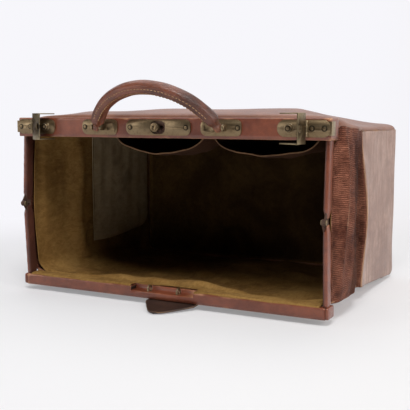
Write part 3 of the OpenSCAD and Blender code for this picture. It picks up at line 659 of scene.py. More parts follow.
# Pale Dye with strong contrast on the end panels: painted sheen of the light across them.
hide_end = finish("Stiff leather, pale with painted sheen", HIDE, Dye=(194, 160, 144), Deep=(124, 86, 68), Raw=(168, 128, 96),
                  Grain=0.6, Streaks=1.0, Gloss=0.4, shader={"Coat Weight": 0.2, "Coat Roughness": 0.35})
hide_strap = finish("Handle leather", HIDE, Dye=(134, 74, 50), Deep=(66, 34, 23), Raw=(158, 98, 64),
                    Grain=0.6, Gloss=0.34, bump=0.0004, shader={"Coat Weight": 0.15, "Coat Roughness": 0.35})
hide_tab = finish("Tab leather", HIDE, Dye=(72, 50, 40), Deep=(44, 29, 24), Raw=(118, 88, 62), Grain=0.6,
                  Gloss=0.5)
suede = finish("Khaki suede", NAP, Pale=(164, 128, 74), Deep=(120, 86, 42), Stain=(80, 52, 26),
               bump=0.0004, shader={"Specular IOR Level": 0.12})
facing_cloth = finish("Grey facing", NAP, Pale=(176, 158, 128), Deep=(146, 128, 98), Stain=(104, 86, 62),
                      Weave=1.0, shader={"Specular IOR Level": 0.06})
pocket_cloth = finish("Pocket suede", NAP, Pale=(84, 56, 40), Deep=(62, 40, 28), Stain=(44, 27, 19),
                      shader={"Specular IOR Level": 0.12})
binding = finish("Pocket binding", NAP, Pale=(128, 94, 62), Deep=(94, 66, 42), Stain=(52, 34, 24))
thread = finish("Thread", NAP, Pale=(196, 158, 118), Deep=(150, 112, 76), Stain=(92, 62, 40), bump=0.0001)
fibre = finish("Fibre board", NAP, rest=False, Pale=(120, 96, 68), Deep=(92, 70, 48), Stain=(70, 50, 34))
brass = finish("Old brass", METAL, metallic=0.85, bump=0.00003, Bright=(206, 190, 158), Base=(128, 108, 80),
               Tarnish=(96, 78, 56), Gloss=0.27, Age=0.4)
dull_brass = finish("Dull brass", METAL, metallic=0.9, bump=0.00005, Bright=(206, 188, 148),
                    Base=(94, 78, 56), Tarnish=(50, 38, 26), Gloss=0.3, Age=0.56)
iron = finish("Brown iron", METAL, metallic=0.5, bump=0.00006, Bright=(150, 130, 112), Base=(84, 56, 44),
              Tarnish=(56, 34, 26), Gloss=0.5, Age=0.6)
iron_cad = finish("Brown iron, plain", METAL, rest=False, metallic=0.85, bump=0.00006,
                  Bright=(150, 140, 124), Base=(70, 58, 48), Tarnish=(38, 28, 22), Gloss=0.42, Age=0.6)


# The bag's outer form

CREST_Y, CREST_OUT = 42.0, 8.5
LOBE_Y, LOBE_OUT = 78.0, 3.4
VALLEY_Y, VALLEY_IN = 119.0, 9.5
PINCH_Y, PINCH_Z, PINCH_OUT = 112.0, 128.0, 4.2
EDGE_POWER = 22


def upper_seam(y):
    """Height of the seam along the bag's upper side edges: it falls from the jaw's end to the base's height
    by a power of the way to the stiff end."""
    t = np.clip((y - JAW_BACK) / (SEAM_Y - JAW_BACK), 0, 1)
    at_jaw = JAW_TOP - 11 - BASE_TOP
    return BASE_TOP + 1.5 * (1 - ease((y - SEAM_Y) / 150)) + at_jaw * (1 - t) ** 1.2


def lower_seam(y):
    """Height of the lower side seam: level behind the jaw, then straight down to the base's lower edge."""
    return 22.5 - 3.5 * ease((y - 50) / 100) - 0.08 * np.clip(y - SEAM_Y, 0, None)


def side_line(y):
    """Distance of the bag's sides from the middle: out from the arms, level along the gusset, in to the
    stiff end."""
    swell = 4.2 * ease((y - 23) / 25)
    return ARMS_X + swell - (ARMS_X + 3.2 - END_X) * ease((y - 100) / 48)


def seam_x(z):
    """Distance of the end seam from the middle at a height: a raised sine makes it stand out halfway up."""
    v = np.clip((z - 4) / (BASE_TOP - 4), 0, 1)
    return END_X - 0.4 + 8.0 * arch(v, 2.2) + 3.0 * (1 - v)


def seam_wave(v):
    """Sway of the end seam along the bag: a little over one wave from the floor to the top."""
    return 0.72 * np.sin(2.2 * np.pi * v + 0.6)


def valley_y(z):
    """Depth at which the gusset's valley runs: it goes back towards the seam near the floor."""
    return VALLEY_Y + 12 * ease((70 - z) / 50) + 2.5 * np.sin(z / 21)


def folds(y, z):
    """How far the gusset stands out from its line: a crest behind the arm, a lobe behind it and a valley
    before the seam, each a bell along y, with a pinch across the valley. The crest runs out at the jaws."""
    v = np.clip((z - 8) / 225, 0.01, 0.99)
    up_crest = np.clip((z - 24) / 214, 0, 1) ** 1.5
    crest = CREST_OUT * arch(up_crest, 1.1) * bell((y - CREST_Y) / np.where(y < CREST_Y, 9, 6))
    lobe = LOBE_OUT * arch(v, 0.8) * bell((y - LOBE_Y) / 16)
    valley = -VALLEY_IN * arch(v, 0.5) * bell((y - valley_y(z)) / 13)
    pinch = PINCH_OUT * bell((z - PINCH_Z - 0.5 * (y - PINCH_Y)) / 7) * bell((y - PINCH_Y) / 9)
    return crest + lobe + valley + pinch


def middle_line(y):
    """Height of the upper panel along its middle: from the jaw to the base, with a crown that a bent half
    wave gives."""
    t = np.clip((y - JAW_BACK + 2) / (DEPTH - 15 - JAW_BACK + 2), 0, 1)
    return (JAW_TOP - 1) * (1 - t) + (BASE_TOP + 8) * t + 12.5 * arch(t ** 0.75, 0.8)


def way_out(x, y):
    """Share of the way from the upper panel's middle to its side."""
    return np.clip(np.abs(x) / (side_line(y) - 0.5), 0, 1)


def shoulder(s, y):
    """Round shoulder along the upper side edges: its height times the root of 1 less a high power of the
    share s of the way out."""
    tall = 9.5 - 6.0 * ease((y - 40) / 70) + 3.0 * ease((y - 200) / 100)
    return tall * np.sqrt(1 - s ** EDGE_POWER)


def upper_skin(x, y):
    """Height of the upper panel: over the seam's height a shoulder, then a crown that fades smoothly before
    the sides, near the jaw half of it by a cube of the way out, and a slight unevenness."""
    s = way_out(x, y)
    rise = np.clip(middle_line(y) - upper_seam(y) - shoulder(0 * s, y), 0, None)
    near_jaw = 0.5 * ease((70 - y) / 40)
    rise = rise * (1 - ease((s - 0.62) / 0.32) * (1 - near_jaw) - near_jaw * s ** 3)
    sag = 1.1 * ripple(x / 45, y / 38, 3) * (1 - s ** 6) * ease((y - 40) / 30)
    return upper_seam(y) + shoulder(s, y) + rise + sag


def with_the_fold(obj):
    """Bakes the piece's place into its mesh."""
    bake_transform(obj)


def upper_leather():
    """Upper panel: it starts upright behind the jaw, rolls over onto the crowned surface, and ends over the
    base."""
    half = np.sin(whole(0, math.pi / 2, 0.036)) ** 0.9
    roll_y = JAW_BACK + 0.6 + np.array([0, 0, 0, 0, 0.7, 2.2, 4.4])
    roll_z = np.array([-18.0, -12, -7, -3.2, -1.4, -0.4, 0.0])
    s, y = np.meshgrid(np.concatenate([-half[::-1], half[1:]]),
                       np.concatenate([roll_y, whole(38, DEPTH - TOP_R - 5, 4)]))
    x = s * (side_line(y) - 0.5)
    z = upper_skin(x, y)
    z[:len(roll_z)] += roll_z[:, None]
    marks = 0.25 * ease((np.abs(s) - 0.93) / 0.07) + 0.12 * bell((y - 60) / 40)
    obj = sheet("upper_leather", np.stack([x, y, z], -1), HIDE_T, hide_smooth, marks)
    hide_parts("top_panel")
    with_the_fold(obj)


def gusset_skin(y, v, side):
    """Point of a gusset at depth y and share v of its height, standing out by its folds, its rear edge
    turned out to the seam and its lower edge drawn in."""
    z = lower_seam(y) + v * (upper_seam(y) - lower_seam(y))
    out = side_line(y) + folds(y, z) + 0.35 * ripple(y / 9, z / 16, 11) * ease((y - 26) / 8)
    to_seam = ease((y - SEAM_Y + 9) / 9)
    drawn = 2.5 * ease((0.09 - v) / 0.09)
    return np.stack([side * (out * (1 - to_seam) + seam_x(z) * to_seam - drawn), y, z], -1)


def gusset_leather(side, word):
    """Folding gusset: ribbed leather between the mouth frame and the seam of the stiff end. Its front edge
    comes forward to the arms between the two jaws, where it is skived thin. Its crest is worn, with a
    painted highlight along it, and its valley and the gap by the lower arm are darkened with painted shade
    and some soil."""
    front = whole(JAW_BACK - 8, JAW_BACK, 1.2)[:-1]
    y, v = np.meshgrid(np.concatenate([front, whole(JAW_BACK, SEAM_Y - 0.6, 1.6)]), whole(0, 1, 1 / 110),
                       indexing="ij")
    grid = gusset_skin(y, v, side)
    z = grid[..., 2]
    under_jaws = 1 - ease((z - LOW_HI[2] - 1) / 4) * ease((JAW_LO[2] - 1 - z) / 4)
    grid[..., 1] += np.clip(JAW_BACK + 0.2 - y, 0, None) * under_jaws
    grid[..., 1] -= 7.0 * np.clip(1 - np.abs(z - KNEE_Z) / 108, 0, 1) * ease((40 - y) / 16)
    # Pale line on the crest: wear and a painted highlight, set just behind the peak where the fold's edge
    # shows.
    marks = bell((y - CREST_Y - 2) / 3.0) * arch(v, 0.3) + 0.12 * ease((0.03 - v) / 0.03)
    # Painted shade with some soil: the valley from the lobe to the seam is darkened, less on the pinch.
    soil_and_shade = ease((y - 74) / 8) * ease((SEAM_Y - 1 - y) / 3) * ease((0.97 - v) / 0.1)
    soil_and_shade *= 1 - 0.4 * bell((z - PINCH_Z) / 9)
    # Painted shade in the gap between the lower arm and the gusset.
    soil_and_shade += 0.7 * ease((36 - y) / 10) * ease((124 - z) / 30) * ease((z - 30) / 30)
    marks = np.where(marks < 0.2, marks - np.clip(soil_and_shade, 0, 1), marks)
    thick = (1.0 + (HIDE_T - 1.6) * ease((y - 24) / 16))[..., None]
    obj = sheet("gusset_leather_" + word, grid, thick, hide_ribbed, marks, flip=side > 0)
    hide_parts("gusset_" + word, "seam_piping")
    with_the_fold(obj)


def end_skin(y, v, side):
    """Point of a stiff end: flat but for a slight unevenness, round at its rear corners, its front edge out
    to the seam."""
    into = np.clip(y - (DEPTH - LOW_R), 0, LOW_R)
    low = lower_seam(y) - 1.0 + LOW_R - np.sqrt(LOW_R ** 2 - into ** 2)
    over = np.clip(y - (DEPTH - TOP_R), 0, TOP_R)
    high = BASE_TOP - TOP_R + np.sqrt(TOP_R ** 2 - over ** 2)
    z = low + v * (high - low)
    lip = (seam_x(z) - END_X) * ease((SEAM_Y + 40 - y) / 38) ** 1.6
    turn = -2.5 * ease((y - DEPTH + 4) / 4)
    x = END_X + lip + turn + 0.7 * ripple(y / 50, z / 42, 21)
    return np.stack([side * x, y + seam_wave(v) * ease((SEAM_Y + 26 - y) / 26), z], -1)


def end_leather(side, word):
    """Stiff end of smooth leather, from the seam to the base."""
    rear = DEPTH - LOW_R
    steps = np.concatenate([whole(SEAM_Y + 1.2, SEAM_Y + 10, 1.3), whole(SEAM_Y + 14, rear - 1, 4),
                            rear + LOW_R * np.sin(whole(0, math.pi / 2, 0.11)) - 0.02])
    y, v = np.meshgrid(steps, whole(0, 1, 1 / 60), indexing="ij")
    marks = 0.4 * ease((SEAM_Y + 3.4 - y) / 2.4) + 0.25 * ease((0.03 - v) / 0.03)
    marks += 0.4 * ease((v - 0.985) / 0.015)
    obj = sheet("end_leather_" + word, end_skin(y, v, side), HIDE_T, hide_end, marks, swell=0.2,
                flip=side > 0)
    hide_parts("end_board_" + word)
    with_the_fold(obj)


def seam_cords(side, word):
    """Dark piping between gusset and stiff end, pale worn welt along the upper side edge."""
    z = whole(lower_seam(SEAM_Y) - 1, BASE_TOP - 1, 2.4)
    v = (z - z[0]) / (z[-1] - z[0])
    seam = np.stack([side * (seam_x(z) - 0.2), SEAM_Y + 0.2 + seam_wave(v), z], -1)
    piping = cord_piece("seam_piping_" + word, seam, 1.7, hide_ribbed, (0, 1, 0), np.full(len(z), 0.12))
    y = np.concatenate([whole(JAW_BACK + 3, SEAM_Y, 2.5), whole(SEAM_Y + 3, DEPTH - 13, 4)])
    top = upper_seam(y) + 0.3 + 0.5 * bell((y - SEAM_Y) / 9)
    marks = 0.15 + 0.35 * ease((y - SEAM_Y + 14) / 16)
    welt = cord_piece("top_welt_" + word, np.stack([side * (side_line(y) + 0.2), y, top], -1), 1.6,
                      hide_smooth, marks=marks)
    for cord in (piping, welt):
        with_the_fold(cord)


def base_leather():
    """Base: a profile carried across the bag, from under the upper panel round both rounded edges to the
    lower one, slightly hollow behind and drawn up at its ends."""
    turn = whole(0, math.pi / 2, 0.13)
    lift = 0.2
    over = np.stack([DEPTH - TOP_R + TOP_R * np.sin(turn), BASE_TOP - TOP_R + TOP_R * np.cos(turn)], -1)
    under = np.stack([DEPTH - LOW_R + LOW_R * np.cos(turn), LOW_R - LOW_R * np.sin(turn) + lift], -1)
    flat = np.stack([np.full(24, DEPTH), np.linspace(BASE_TOP - TOP_R, LOW_R, 26)[1:-1]], -1)
    flap = np.linspace(DEPTH - 46, DEPTH - LOW_R - 2, 8)
    first = np.stack([flap, np.full(8, BASE_TOP)], -1)
    last = np.stack([flap[::-1], np.full(8, lift)], -1)
    x = whole(-END_X + 1.5, END_X - 1.5, 6)
    s = np.abs(x) / x[-1]
    grid = carried(np.concatenate([first, over, flat, under, last]), x)
    rear = ease((grid[..., 1] - DEPTH + 6) / 6)
    grid[..., 1] -= rear * (1.2 * (1 - s ** 2) + 0.4 * ripple(grid[..., 0] / 60, grid[..., 2] / 45, 31))
    grid[..., 2] *= 1 + 7.0 / BASE_TOP * np.sqrt(1 - s ** EDGE_POWER)
    grid[..., 2] += 4.0 * s ** EDGE_POWER * (1 - grid[..., 2] / BASE_TOP)
    obj = sheet("base_leather", grid, HIDE_T, hide_smooth, flip=True)
    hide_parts("base_panel")
    with_the_fold(obj)


def lower_leather():
    """Lower panel: flat on the floor, rising in front to the lower jaw and at its sides to the seams."""
    y, s = np.meshgrid(whole(JAW_BACK - 2, DEPTH - 30, 5), whole(-1, 1, 0.04), indexing="ij")
    x = s * (side_line(y) - 1.0)
    floor = 0.3 + 11.0 * ease((64 - y) / 34) + 0.5 * (1 + ripple(x / 50, y / 40, 41)) * ease((300 - y) / 60)
    z = floor + (lower_seam(y) + 0.5 - floor) * np.abs(s) ** 7
    marks = 0.3 * ease((np.abs(s) - 0.95) / 0.05)
    obj = sheet("lower_leather", np.stack([x, y, z], -1), HIDE_T, hide_smooth, marks)
    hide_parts("bottom_panel")
    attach(obj, "root")


# Linings

def trough_line(half, tall, radius):
    """Section of the lining of floor and sides: a U with round lower corners, from its left top to its
    right."""
    turn = whole(0, math.pi / 2, 0.2)
    wall = np.stack([np.full(44, -half), np.linspace(tall, radius, 44)], -1)
    arc = np.stack([-half + radius - radius * np.cos(turn), radius - radius * np.sin(turn)], -1)[1:-1]
    floor = np.stack([np.linspace(-half + radius, 0, 34), np.zeros(34)], -1)
    left = np.concatenate([wall, arc, floor])
    return np.concatenate([left, (left * [-1, 1])[-2::-1]])


def trough_floor(x, y):
    """Height of the lining's floor: it rises in front to the lower jaw in uneven waves, with a hump behind
    the jaw and a crease across its rear, and its front edge is tucked down."""
    wave = 1.6 * ripple(x / 40, y / 30, 51) + 0.8 * ripple(x / 14, y / 17, 52)
    crease = 1.8 * bell((y - 262 - 0.05 * x - 4 * np.sin(x / 60)) / 4)
    rise = (LOW_HI[2] - 4.6) * ease((84 + 16 * np.sin(x / 58 + 2.2) - y) / 52)
    hump = 3.5 * bell((y - 46) / 12) * (0.5 + 0.5 * np.sin(x / 52 + 0.6))
    loose = np.clip(hump + 1.5 + wave - crease, 0.2, None) * ease((y - JAW_BACK + 4) / 12)
    return HIDE_T + 1.6 + rise + loose - 9.0 * ease((JAW_BACK + 2 - y) / 1.6)


def lining_trough():
    """Lining of the floor and both sides in one sheet: a U carried back from the mouth. Its sides follow
    the gussets' folds and come forward to the arms at the middle hinges. Painted shade darkens it towards
    the rear, less on the left wall."""
    half, tall = 213.0, 216.0
    line = trough_line(half, tall, 14.0)
    steps = np.concatenate([[JAW_BACK + 0.5, JAW_BACK + 0.9], whole(JAW_BACK + 2, 100, 3),
                            whole(104, DEPTH - 9, 5)])
    y, s = np.meshgrid(steps, line[:, 0] / half, indexing="ij")
    up = np.broadcast_to(line[:, 1] / tall, y.shape)
    low = trough_floor(s * half, y)
    low = low + np.clip(lower_seam(y) + 3.5 - low, 0, None) * np.abs(s) ** 7
    z = low * (1 - up) + (upper_seam(y) - 5.5) * up
    follow = folds(y, z) * (up > 0.02)
    reach = side_line(y) - HIDE_T - 0.5 + np.where(follow < 0, 1.1, 0.45) * follow
    x = s * (reach - 0.3 * (1 + ripple(y / 26, z / 33, 53)))
    at_arms = np.clip(1 - np.abs(z - KNEE_Z) / 100, 0, 1) ** 0.5 * ease((np.abs(s) - 0.93) / 0.06)
    grid = np.stack([x, y - 8.5 * at_arms * ease((47 - y) / 15), z], -1)
    # Painted shade: darker towards the rear, less on the left wall, which the lamps light.
    shade = ease((y - 110 - 25 * np.sin(s * half / 70 + 1)) / 120) * (1 - 0.4 * up * (s < 0))
    obj = sheet("lining_trough", grid, CLOTH_T * 0.8, suede, marks=-0.8 * shade)
    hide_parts("lining_bottom", "lining_left", "lining_right")
    with_the_fold(obj)


def lining_roof():
    """Upper lining: the upper panel's surface, a little below it."""
    y, s = np.meshgrid(whole(JAW_BACK + 1.2, DEPTH - 10, 5), whole(-1, 1, 0.03), indexing="ij")
    x = s * (side_line(y) - HIDE_T - 2.2)
    z = upper_skin(x, y) - HIDE_T - 1.2 - 1.2 * (1 - s ** 4) * (1 + 0.4 * ripple(x / 30, y / 26, 61))
    grid = np.stack([x, y, z], -1)
    # Painted shade: the roof lining is darkened, more towards the rear.
    obj = sheet("lining_roof", grid, CLOTH_T, suede, marks=-0.35 - 0.55 * ease((y - 80) / 60))
    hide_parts("lining_top")
    with_the_fold(obj)


def lining_rear():
    """Lining of the base's inner face, slack between its corners."""
    s, v = np.meshgrid(whole(-1, 1, 0.04), whole(0, 1, 0.04), indexing="ij")
    x = s * (END_X - HIDE_T - 1.4)
    z = 5.0 + v * (BASE_TOP - 12)
    slack = (1 - s ** 6) * (1 - (2 * v - 1) ** 6) * (1 + 0.5 * ripple(x / 34, z / 30, 71))
    grid = np.stack([x, DEPTH - HIDE_T - 4.2 - 1.6 * slack, z], -1)
    # Painted shade: the rear lining is darkened nearly to black, a little less on the left.
    obj = sheet("lining_rear", grid, CLOTH_T, suede, marks=-0.92 + 0.2 * ease((-s - 0.2) / 0.8))
    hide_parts("lining_back")
    with_the_fold(obj)


def side_facing(side, word):
    """Grey facing inside a stiff end: a cloth with upright soft folds, its lower rear corner round."""
    lo, hi = cad("facing_right")
    corner_r = 26.0
    y, v = np.meshgrid(whole(lo[1] + 1, hi[1] - 1, 2.2), whole(0, 1, 0.03), indexing="ij")
    into = np.clip((y - hi[1] + corner_r) / corner_r, 0, 1)
    foot = 4 * np.sin(y / 40) + corner_r * (1 - np.sqrt(1 - into ** 2))
    z = lo[2] + foot + v * (hi[2] - lo[2] - foot)
    hang = 0.9 * np.sin(y / 5.2 + 0.8 * np.sin(z / 50)) * np.sin(y / 23) + 0.6 * ripple(y / 12, z / 60, 81)
    x = hi[0] - 1.3 - hang * 0.8 * (0.25 + 0.75 * v) - 1.2 * ease((lo[1] + 5 - y) / 4)
    grid = np.stack([side * x, y, z], -1)
    obj = sheet("facing_cloth_" + word, grid, CLOTH_T * 0.8, facing_cloth, flip=side < 0)
    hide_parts("facing_" + word)
    with_the_fold(obj)


def pocket(word):
    """Swag pocket under the upper lining: a hanging curve carried back, its front lip bound, its back
    closed."""
    lo, hi = cad("pocket_" + word)
    mid, half = (lo[0] + hi[0]) / 2 + 5, (hi[0] - lo[0]) / 2
    lip_y = JAW_BACK + 4
    s, y = np.meshgrid(whole(-1, 1, 0.03), whole(lip_y, hi[1], 3.2), indexing="ij")
    x = mid + s * half
    top = upper_skin(x, y) - HIDE_T - 3.5
    deep = (y - lip_y) / (hi[1] - lip_y)
    shut = ease((deep - 0.55) / 0.45)
    hang = lo[2] - 3 + 3.5 * ease((0.3 - deep) / 0.3)
    gather = 1.1 * np.sin(s * 17 + 2 * deep) * (1 - s ** 2) * (0.3 + deep) + 0.9 * ripple(x / 18, y / 22, 91)
    curve = 0.42 * s ** 2 + 0.58 * np.abs(s) ** 12
    z = hang * (1 - curve) + top * curve + gather * (1 - curve)
    z = np.minimum(z * (1 - shut) + (top - 0.5) * shut, top)
    grid = np.stack([x, y, z], -1)
    # Painted shade: the pocket cloth is darkened all over.
    obj = sheet("pocket_cloth_" + word, grid, CLOTH_T, pocket_cloth, marks=np.full(s.shape, -0.8))
    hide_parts("pocket_" + word)
    with_the_fold(obj)
    edge = grid[:, 0] - [0, 0.6, 0]
    lip = cord_piece("pocket_cloth_" + word + "_binding", edge, 0.9, binding, up=(0, 1, 0))
    with_the_fold(lip)


# Mouth frame

def round_outline(lo, hi, r, xs):
    """Rounded rectangle seen from above, round once from the front left, with points at each x of xs on
    both long sides. Returns points and the outward direction at each."""
    (x0, y0), (x1, y1) = lo[:2], hi[:2]
    turn = whole(0, math.pi / 2, 0.26)[1:-1]
    xs = np.unique(np.clip(xs, x0 + r, x1 - r))
    ys = np.linspace(y0 + r, y1 - r, 6)
    flat, up = np.ones_like(xs), np.ones_like(ys)
    points, outs = [], []
    for run, out, middle, start in (((xs, y0 * flat), (0, -1), (x1 - r, y0 + r), -math.pi / 2),
                                    ((x1 * up, ys), (1, 0), (x1 - r, y1 - r), 0),
                                    ((xs[::-1], y1 * flat), (0, 1), (x0 + r, y1 - r), math.pi / 2),
                                    ((x0 * up, ys[::-1]), (-1, 0), (x0 + r, y0 + r), math.pi)):
        corner = np.stack([np.cos(start + turn), np.sin(start + turn)], -1)
        points += [np.stack(run, -1), np.array(middle) + r * corner]
        outs += [np.tile(out, (len(run[0]), 1)), corner]
    return np.concatenate(points), np.concatenate(outs)


def tray(lo, hi, brow, corner, xs, levels, spine_y):
    """Grid of an upturned tray: from a spine on its top out to the outline, over the edge by a quarter
    round of radius brow, and down its wall through the given levels."""
    line, out = round_outline(lo, hi, corner, xs)
    inset = line - out * brow
    reach = hi[0] - (hi[1] - lo[1]) / 2
    level = np.ones(len(line))
    spine = np.stack([np.clip(line[:, 0], -reach, reach), spine_y * level], -1)
    rows = [np.column_stack([spine * (1 - b) + inset * b, hi[2] * level]) for b in (0, 0.45, 0.85, 1)]
    rows += [np.column_stack([inset + out * brow * math.sin(a), (hi[2] - brow * (1 - math.cos(a))) * level])
             for a in whole(0, math.pi / 2, 0.32)[1:]]
    rows += [np.column_stack([line, z * level]) for z in levels]
    return np.array(rows)


def jaw_leather(name, lo, hi, levels, xs, opening, body, node, spine_y):
    """Leather skin of a jaw, drawn over its steel channel, open below, with its openings left out. Its
    upper and lower edges and its ends are worn."""
    skin = np.array([SKIN_T, SKIN_T, 0])
    outer = tray(lo, hi, 1.8, 2.6, xs, levels, spine_y)
    inner = tray(lo + skin, hi - skin - [0, 0, SKIN_T], 0.5, 1.2, xs, levels, spine_y)
    quads = grid_quads(*outer.shape[:2], ring=True)
    quads = quads[~opening(outer.reshape(-1, 3)[quads].mean(1))]
    x, y, z = np.moveaxis(outer, -1, 0)
    marks = 0.42 * bell((z - hi[2] + 1) / 1.6) * (np.abs(y - (lo[1] + hi[1]) / 2) > 8)
    marks += 0.3 * bell((z - lo[2]) / 1.5) + 0.25 * (np.abs(x) > hi[0] - 3)
    points, quads, marks = between_skins(outer, inner, quads, marks=marks)
    obj = add_piece(name, points, quads, hide_jaw, marks)
    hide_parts(node)
    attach(obj, body)


def upper_jaw_leather():
    """Upper jaw's leather: its rear wall is open at both ends, where the arms fold out, and its front wall
    in the middle for the lock."""
    door_z = cad("upper_jaw_channel")[1][2] - 1.6
    window_x, window_z = 11.0, 8.5
    stops = [-DOOR_X, DOOR_X, -ARMS_X, ARMS_X, -window_x, window_x]
    xs = np.concatenate([whole(-HALF_JAW, HALF_JAW, 9), stops])

    def opening(c):
        x, y, z = np.abs(c[:, 0]), c[:, 1], c[:, 2]
        doors = (y > JAW_BACK - 3) & (x > DOOR_X) & (x < ARMS_X) & (z < door_z)
        window = (y < 3) & (x < window_x) & (np.abs(z - FACE_Z) < window_z)
        return doors | window

    levels = [door_z - 0.4, FACE_Z + window_z, 234, 229, 224, FACE_Z - window_z, JAW_LO[2]]
    jaw_leather("upper_jaw_leather", JAW_LO, JAW_HI, levels, xs, opening, "upper_jaw", "upper_jaw_cover",
                (JAW_LO[1] + JAW_HI[1]) / 2)


def lower_jaw_leather():
    """Lower jaw's leather: a notch in the middle for the lock, and open ends where the arms stand."""
    xs = np.concatenate([whole(-221, 221, 8.7), [-HALF_NOTCH, HALF_NOTCH, -DOOR_X, DOOR_X]])

    def opening(c):
        x, y, z = np.abs(c[:, 0]), c[:, 1], c[:, 2]
        notch = (x < HALF_NOTCH) & (y < NOTCH_Y) & (z > NOTCH_Z)
        gate = (x > DOOR_X) & (y > LOW_LO[1] + 3)
        return notch | gate

    levels = [19.5, 17.5, NOTCH_Z, 12.0, LOW_LO[2]]
    jaw_leather("lower_jaw_leather", LOW_LO, LOW_HI, levels, xs, opening, "root", "lower_jaw_cover", NOTCH_Y)


def jaw_end(side, word):
    """Leather folded over an end of the lower jaw, round the corner pin's head: a rounded oblong carried
    outward."""
    y, z = ((LOW_LO + LOW_HI) / 2)[1:]
    wide, tall = ((LOW_HI - LOW_LO) / 2 + 0.3)[1:]
    out = ARMS_X + np.array([-0.6, 0.2, 1.2, 2.0, 2.3])
    path = np.stack(np.broadcast_arrays(side * out, y, z), -1)
    grid = tube(path, oblong(wide, tall, 0.3, 35), (0, 0, 1), np.array([1.0, 1.0, 0.99, 0.96, 0.88]))
    obj = add_piece("jaw_end_leather_" + word, grid, grid_quads(*grid.shape[:2], ring=True), hide_jaw,
                    0.3 * (np.abs(grid[..., 0]) > ARMS_X + 1.1))
    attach(obj, "root")


def notch_leather():
    """Worn leather on the floor of the lock's notch, up its rear and over its front edge."""
    front = LOW_LO[1]
    line = np.array([[front + 0.3, -2.2], [front + 0.4, -0.4], [front + 1.1, 0.55], [9, 0.75], [14, 0.75],
                     [NOTCH_Y - 1.6, 0.8], [NOTCH_Y - 0.7, 1.8], [NOTCH_Y - 0.5, 5.8]])
    x = whole(-HALF_NOTCH + 0.4, HALF_NOTCH - 0.4, 2.6)
    grid = carried(line, x)
    grid[..., 2] += NOTCH_Z + 0.12 * ripple(x / 9, x / 31, 45)
    marks = np.broadcast_to(0.2 + 0.3 * ripple(x / 16, x / 40, 46), grid.shape[:2])
    obj = sheet("notch_leather", grid, 0.5, hide_jaw, marks, flip=True)
    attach(obj, "root")


def jaw_apron():
    """Suede over the lower jaw's top, laid in uneven waves from behind the notch to the front edge, the
    notch open."""
    notch = HALF_NOTCH + 0.5
    x = np.concatenate([whole(-213, -notch, 2.6), whole(-notch, notch, 4)[1:-1], whole(notch, 213, 2.6)])
    y = [4.2, 4.9, 6.0, 7.6, 9.6, 12, 15, NOTCH_Y + 0.5, 20.5, 23, 25.8]
    x, y = np.meshgrid(x, y)
    fall = -1.5 * ease((5.6 - y) / 1.4) - 0.9 * ease((y - 24) / 2)
    wave = 0.55 * (1 + ripple(x / 24, y / 9, 47)) + 0.35 * (1 + ripple(x / 8, y / 6, 48))
    push = 0.5 * ripple(x / 13, y / 40, 49) * ease((7 - y) / 3)
    grid = np.stack([x, y + push, LOW_HI[2] + 1.0 + fall + wave * ease((y - 3.6) / 2.6)], -1)

    def over_notch(c):
        return (np.abs(c[:, 0]) < notch - 0.1) & (c[:, 1] < NOTCH_Y + 0.4)

    obj = sheet("jaw_apron", grid, 0.9, suede, skip=over_notch, flip=True)
    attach(obj, "root")


def arm_leather(which, side, word):
    """Leather sewn round a side arm: a rounded oblong section carried along the arm's slanted line. Its
    front edges are worn, and its inner face is darkened with painted shade."""
    node = which + "_sleeve_" + word
    lo, hi = cad(node)
    up = which == "upper"
    foot, head = (hi[2] + 1, lo[2] - 10) if up else (lo[2] - 1, hi[2] + 10)
    t = np.linspace(0, 1, 60)
    z = foot + (head - foot) * t
    y = ARM_PIVOT_Y - ARM_LEAN * np.abs(z - ARM_PIVOTS_Z[which])
    x = side * ((abs(lo[0]) + abs(hi[0])) / 2 + 0.5)
    deep = (hi[0] - lo[0]) / 2 + 0.9
    wide = (hi[1] - lo[1] - ARM_LEAN * (hi[2] - lo[2])) / 2 + 2.2
    ring = oblong(deep, wide, 0.42, 28)
    scale = 1 - 0.4 * ease((t - 0.88) / 0.12) - 0.1 * ease((0.04 - t) / 0.04)
    scale = scale * (1 + 0.012 * ripple(t * 30, t * 0, 7 if up else 8))
    grid = tube(np.stack(np.broadcast_arrays(x, y, z), -1), ring, (0, 1, 0), scale)
    edges = np.abs(np.abs(ring[:, 0]) - deep * 0.86) < deep * 0.2
    along = np.linspace(0, 1, len(grid))[:, None]
    marks = 0.2 * edges + 0.2 * ease((along - 0.93) / 0.07)
    # Painted shade on the arm's inner face.
    marks = np.where(np.abs(grid[..., 0]) < abs(x) - 0.3 * deep, -0.6, marks)
    obj = add_piece(which + "_arm_leather_" + word, grid, grid_quads(*grid.shape[:2], ring=True), hide_jaw,
                    marks)
    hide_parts(node)
    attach(obj, frame["nodes"][node]["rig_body"])


def pull_tab():
    """Tab under the lower jaw: a tongue with a round end that slopes to the floor and curls a little."""
    lo, hi = cad("pull_tab")
    mid, half = (lo[0] + hi[0]) / 2, (hi[0] - lo[0]) / 2
    thick = 2.4
    v, s = np.meshgrid(whole(0, 1, 0.03), whole(-1, 1, 0.05), indexing="ij")
    y = hi[1] - 0.5 - v * (hi[1] - lo[1] - 0.5)
    taper = 1 - 0.8 * np.clip((v - 0.22) / 0.78, 0, 1) ** 1.1
    round_end = np.sqrt(np.clip(1 - np.clip((v - 0.86) / 0.14, 0, 1) ** 2.4, 0.004, 1))
    x = mid - 1.5 * v + s * half * taper * round_end
    z = thick + 0.5 + (hi[2] - 3.4) * (1 - v) ** 1.15 + 0.8 * s ** 2 * v
    obj = sheet("pull_tab_leather", np.stack([x, y, z], -1), thick, hide_tab)
    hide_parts("pull_tab")
    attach(obj, "root")


# Handle

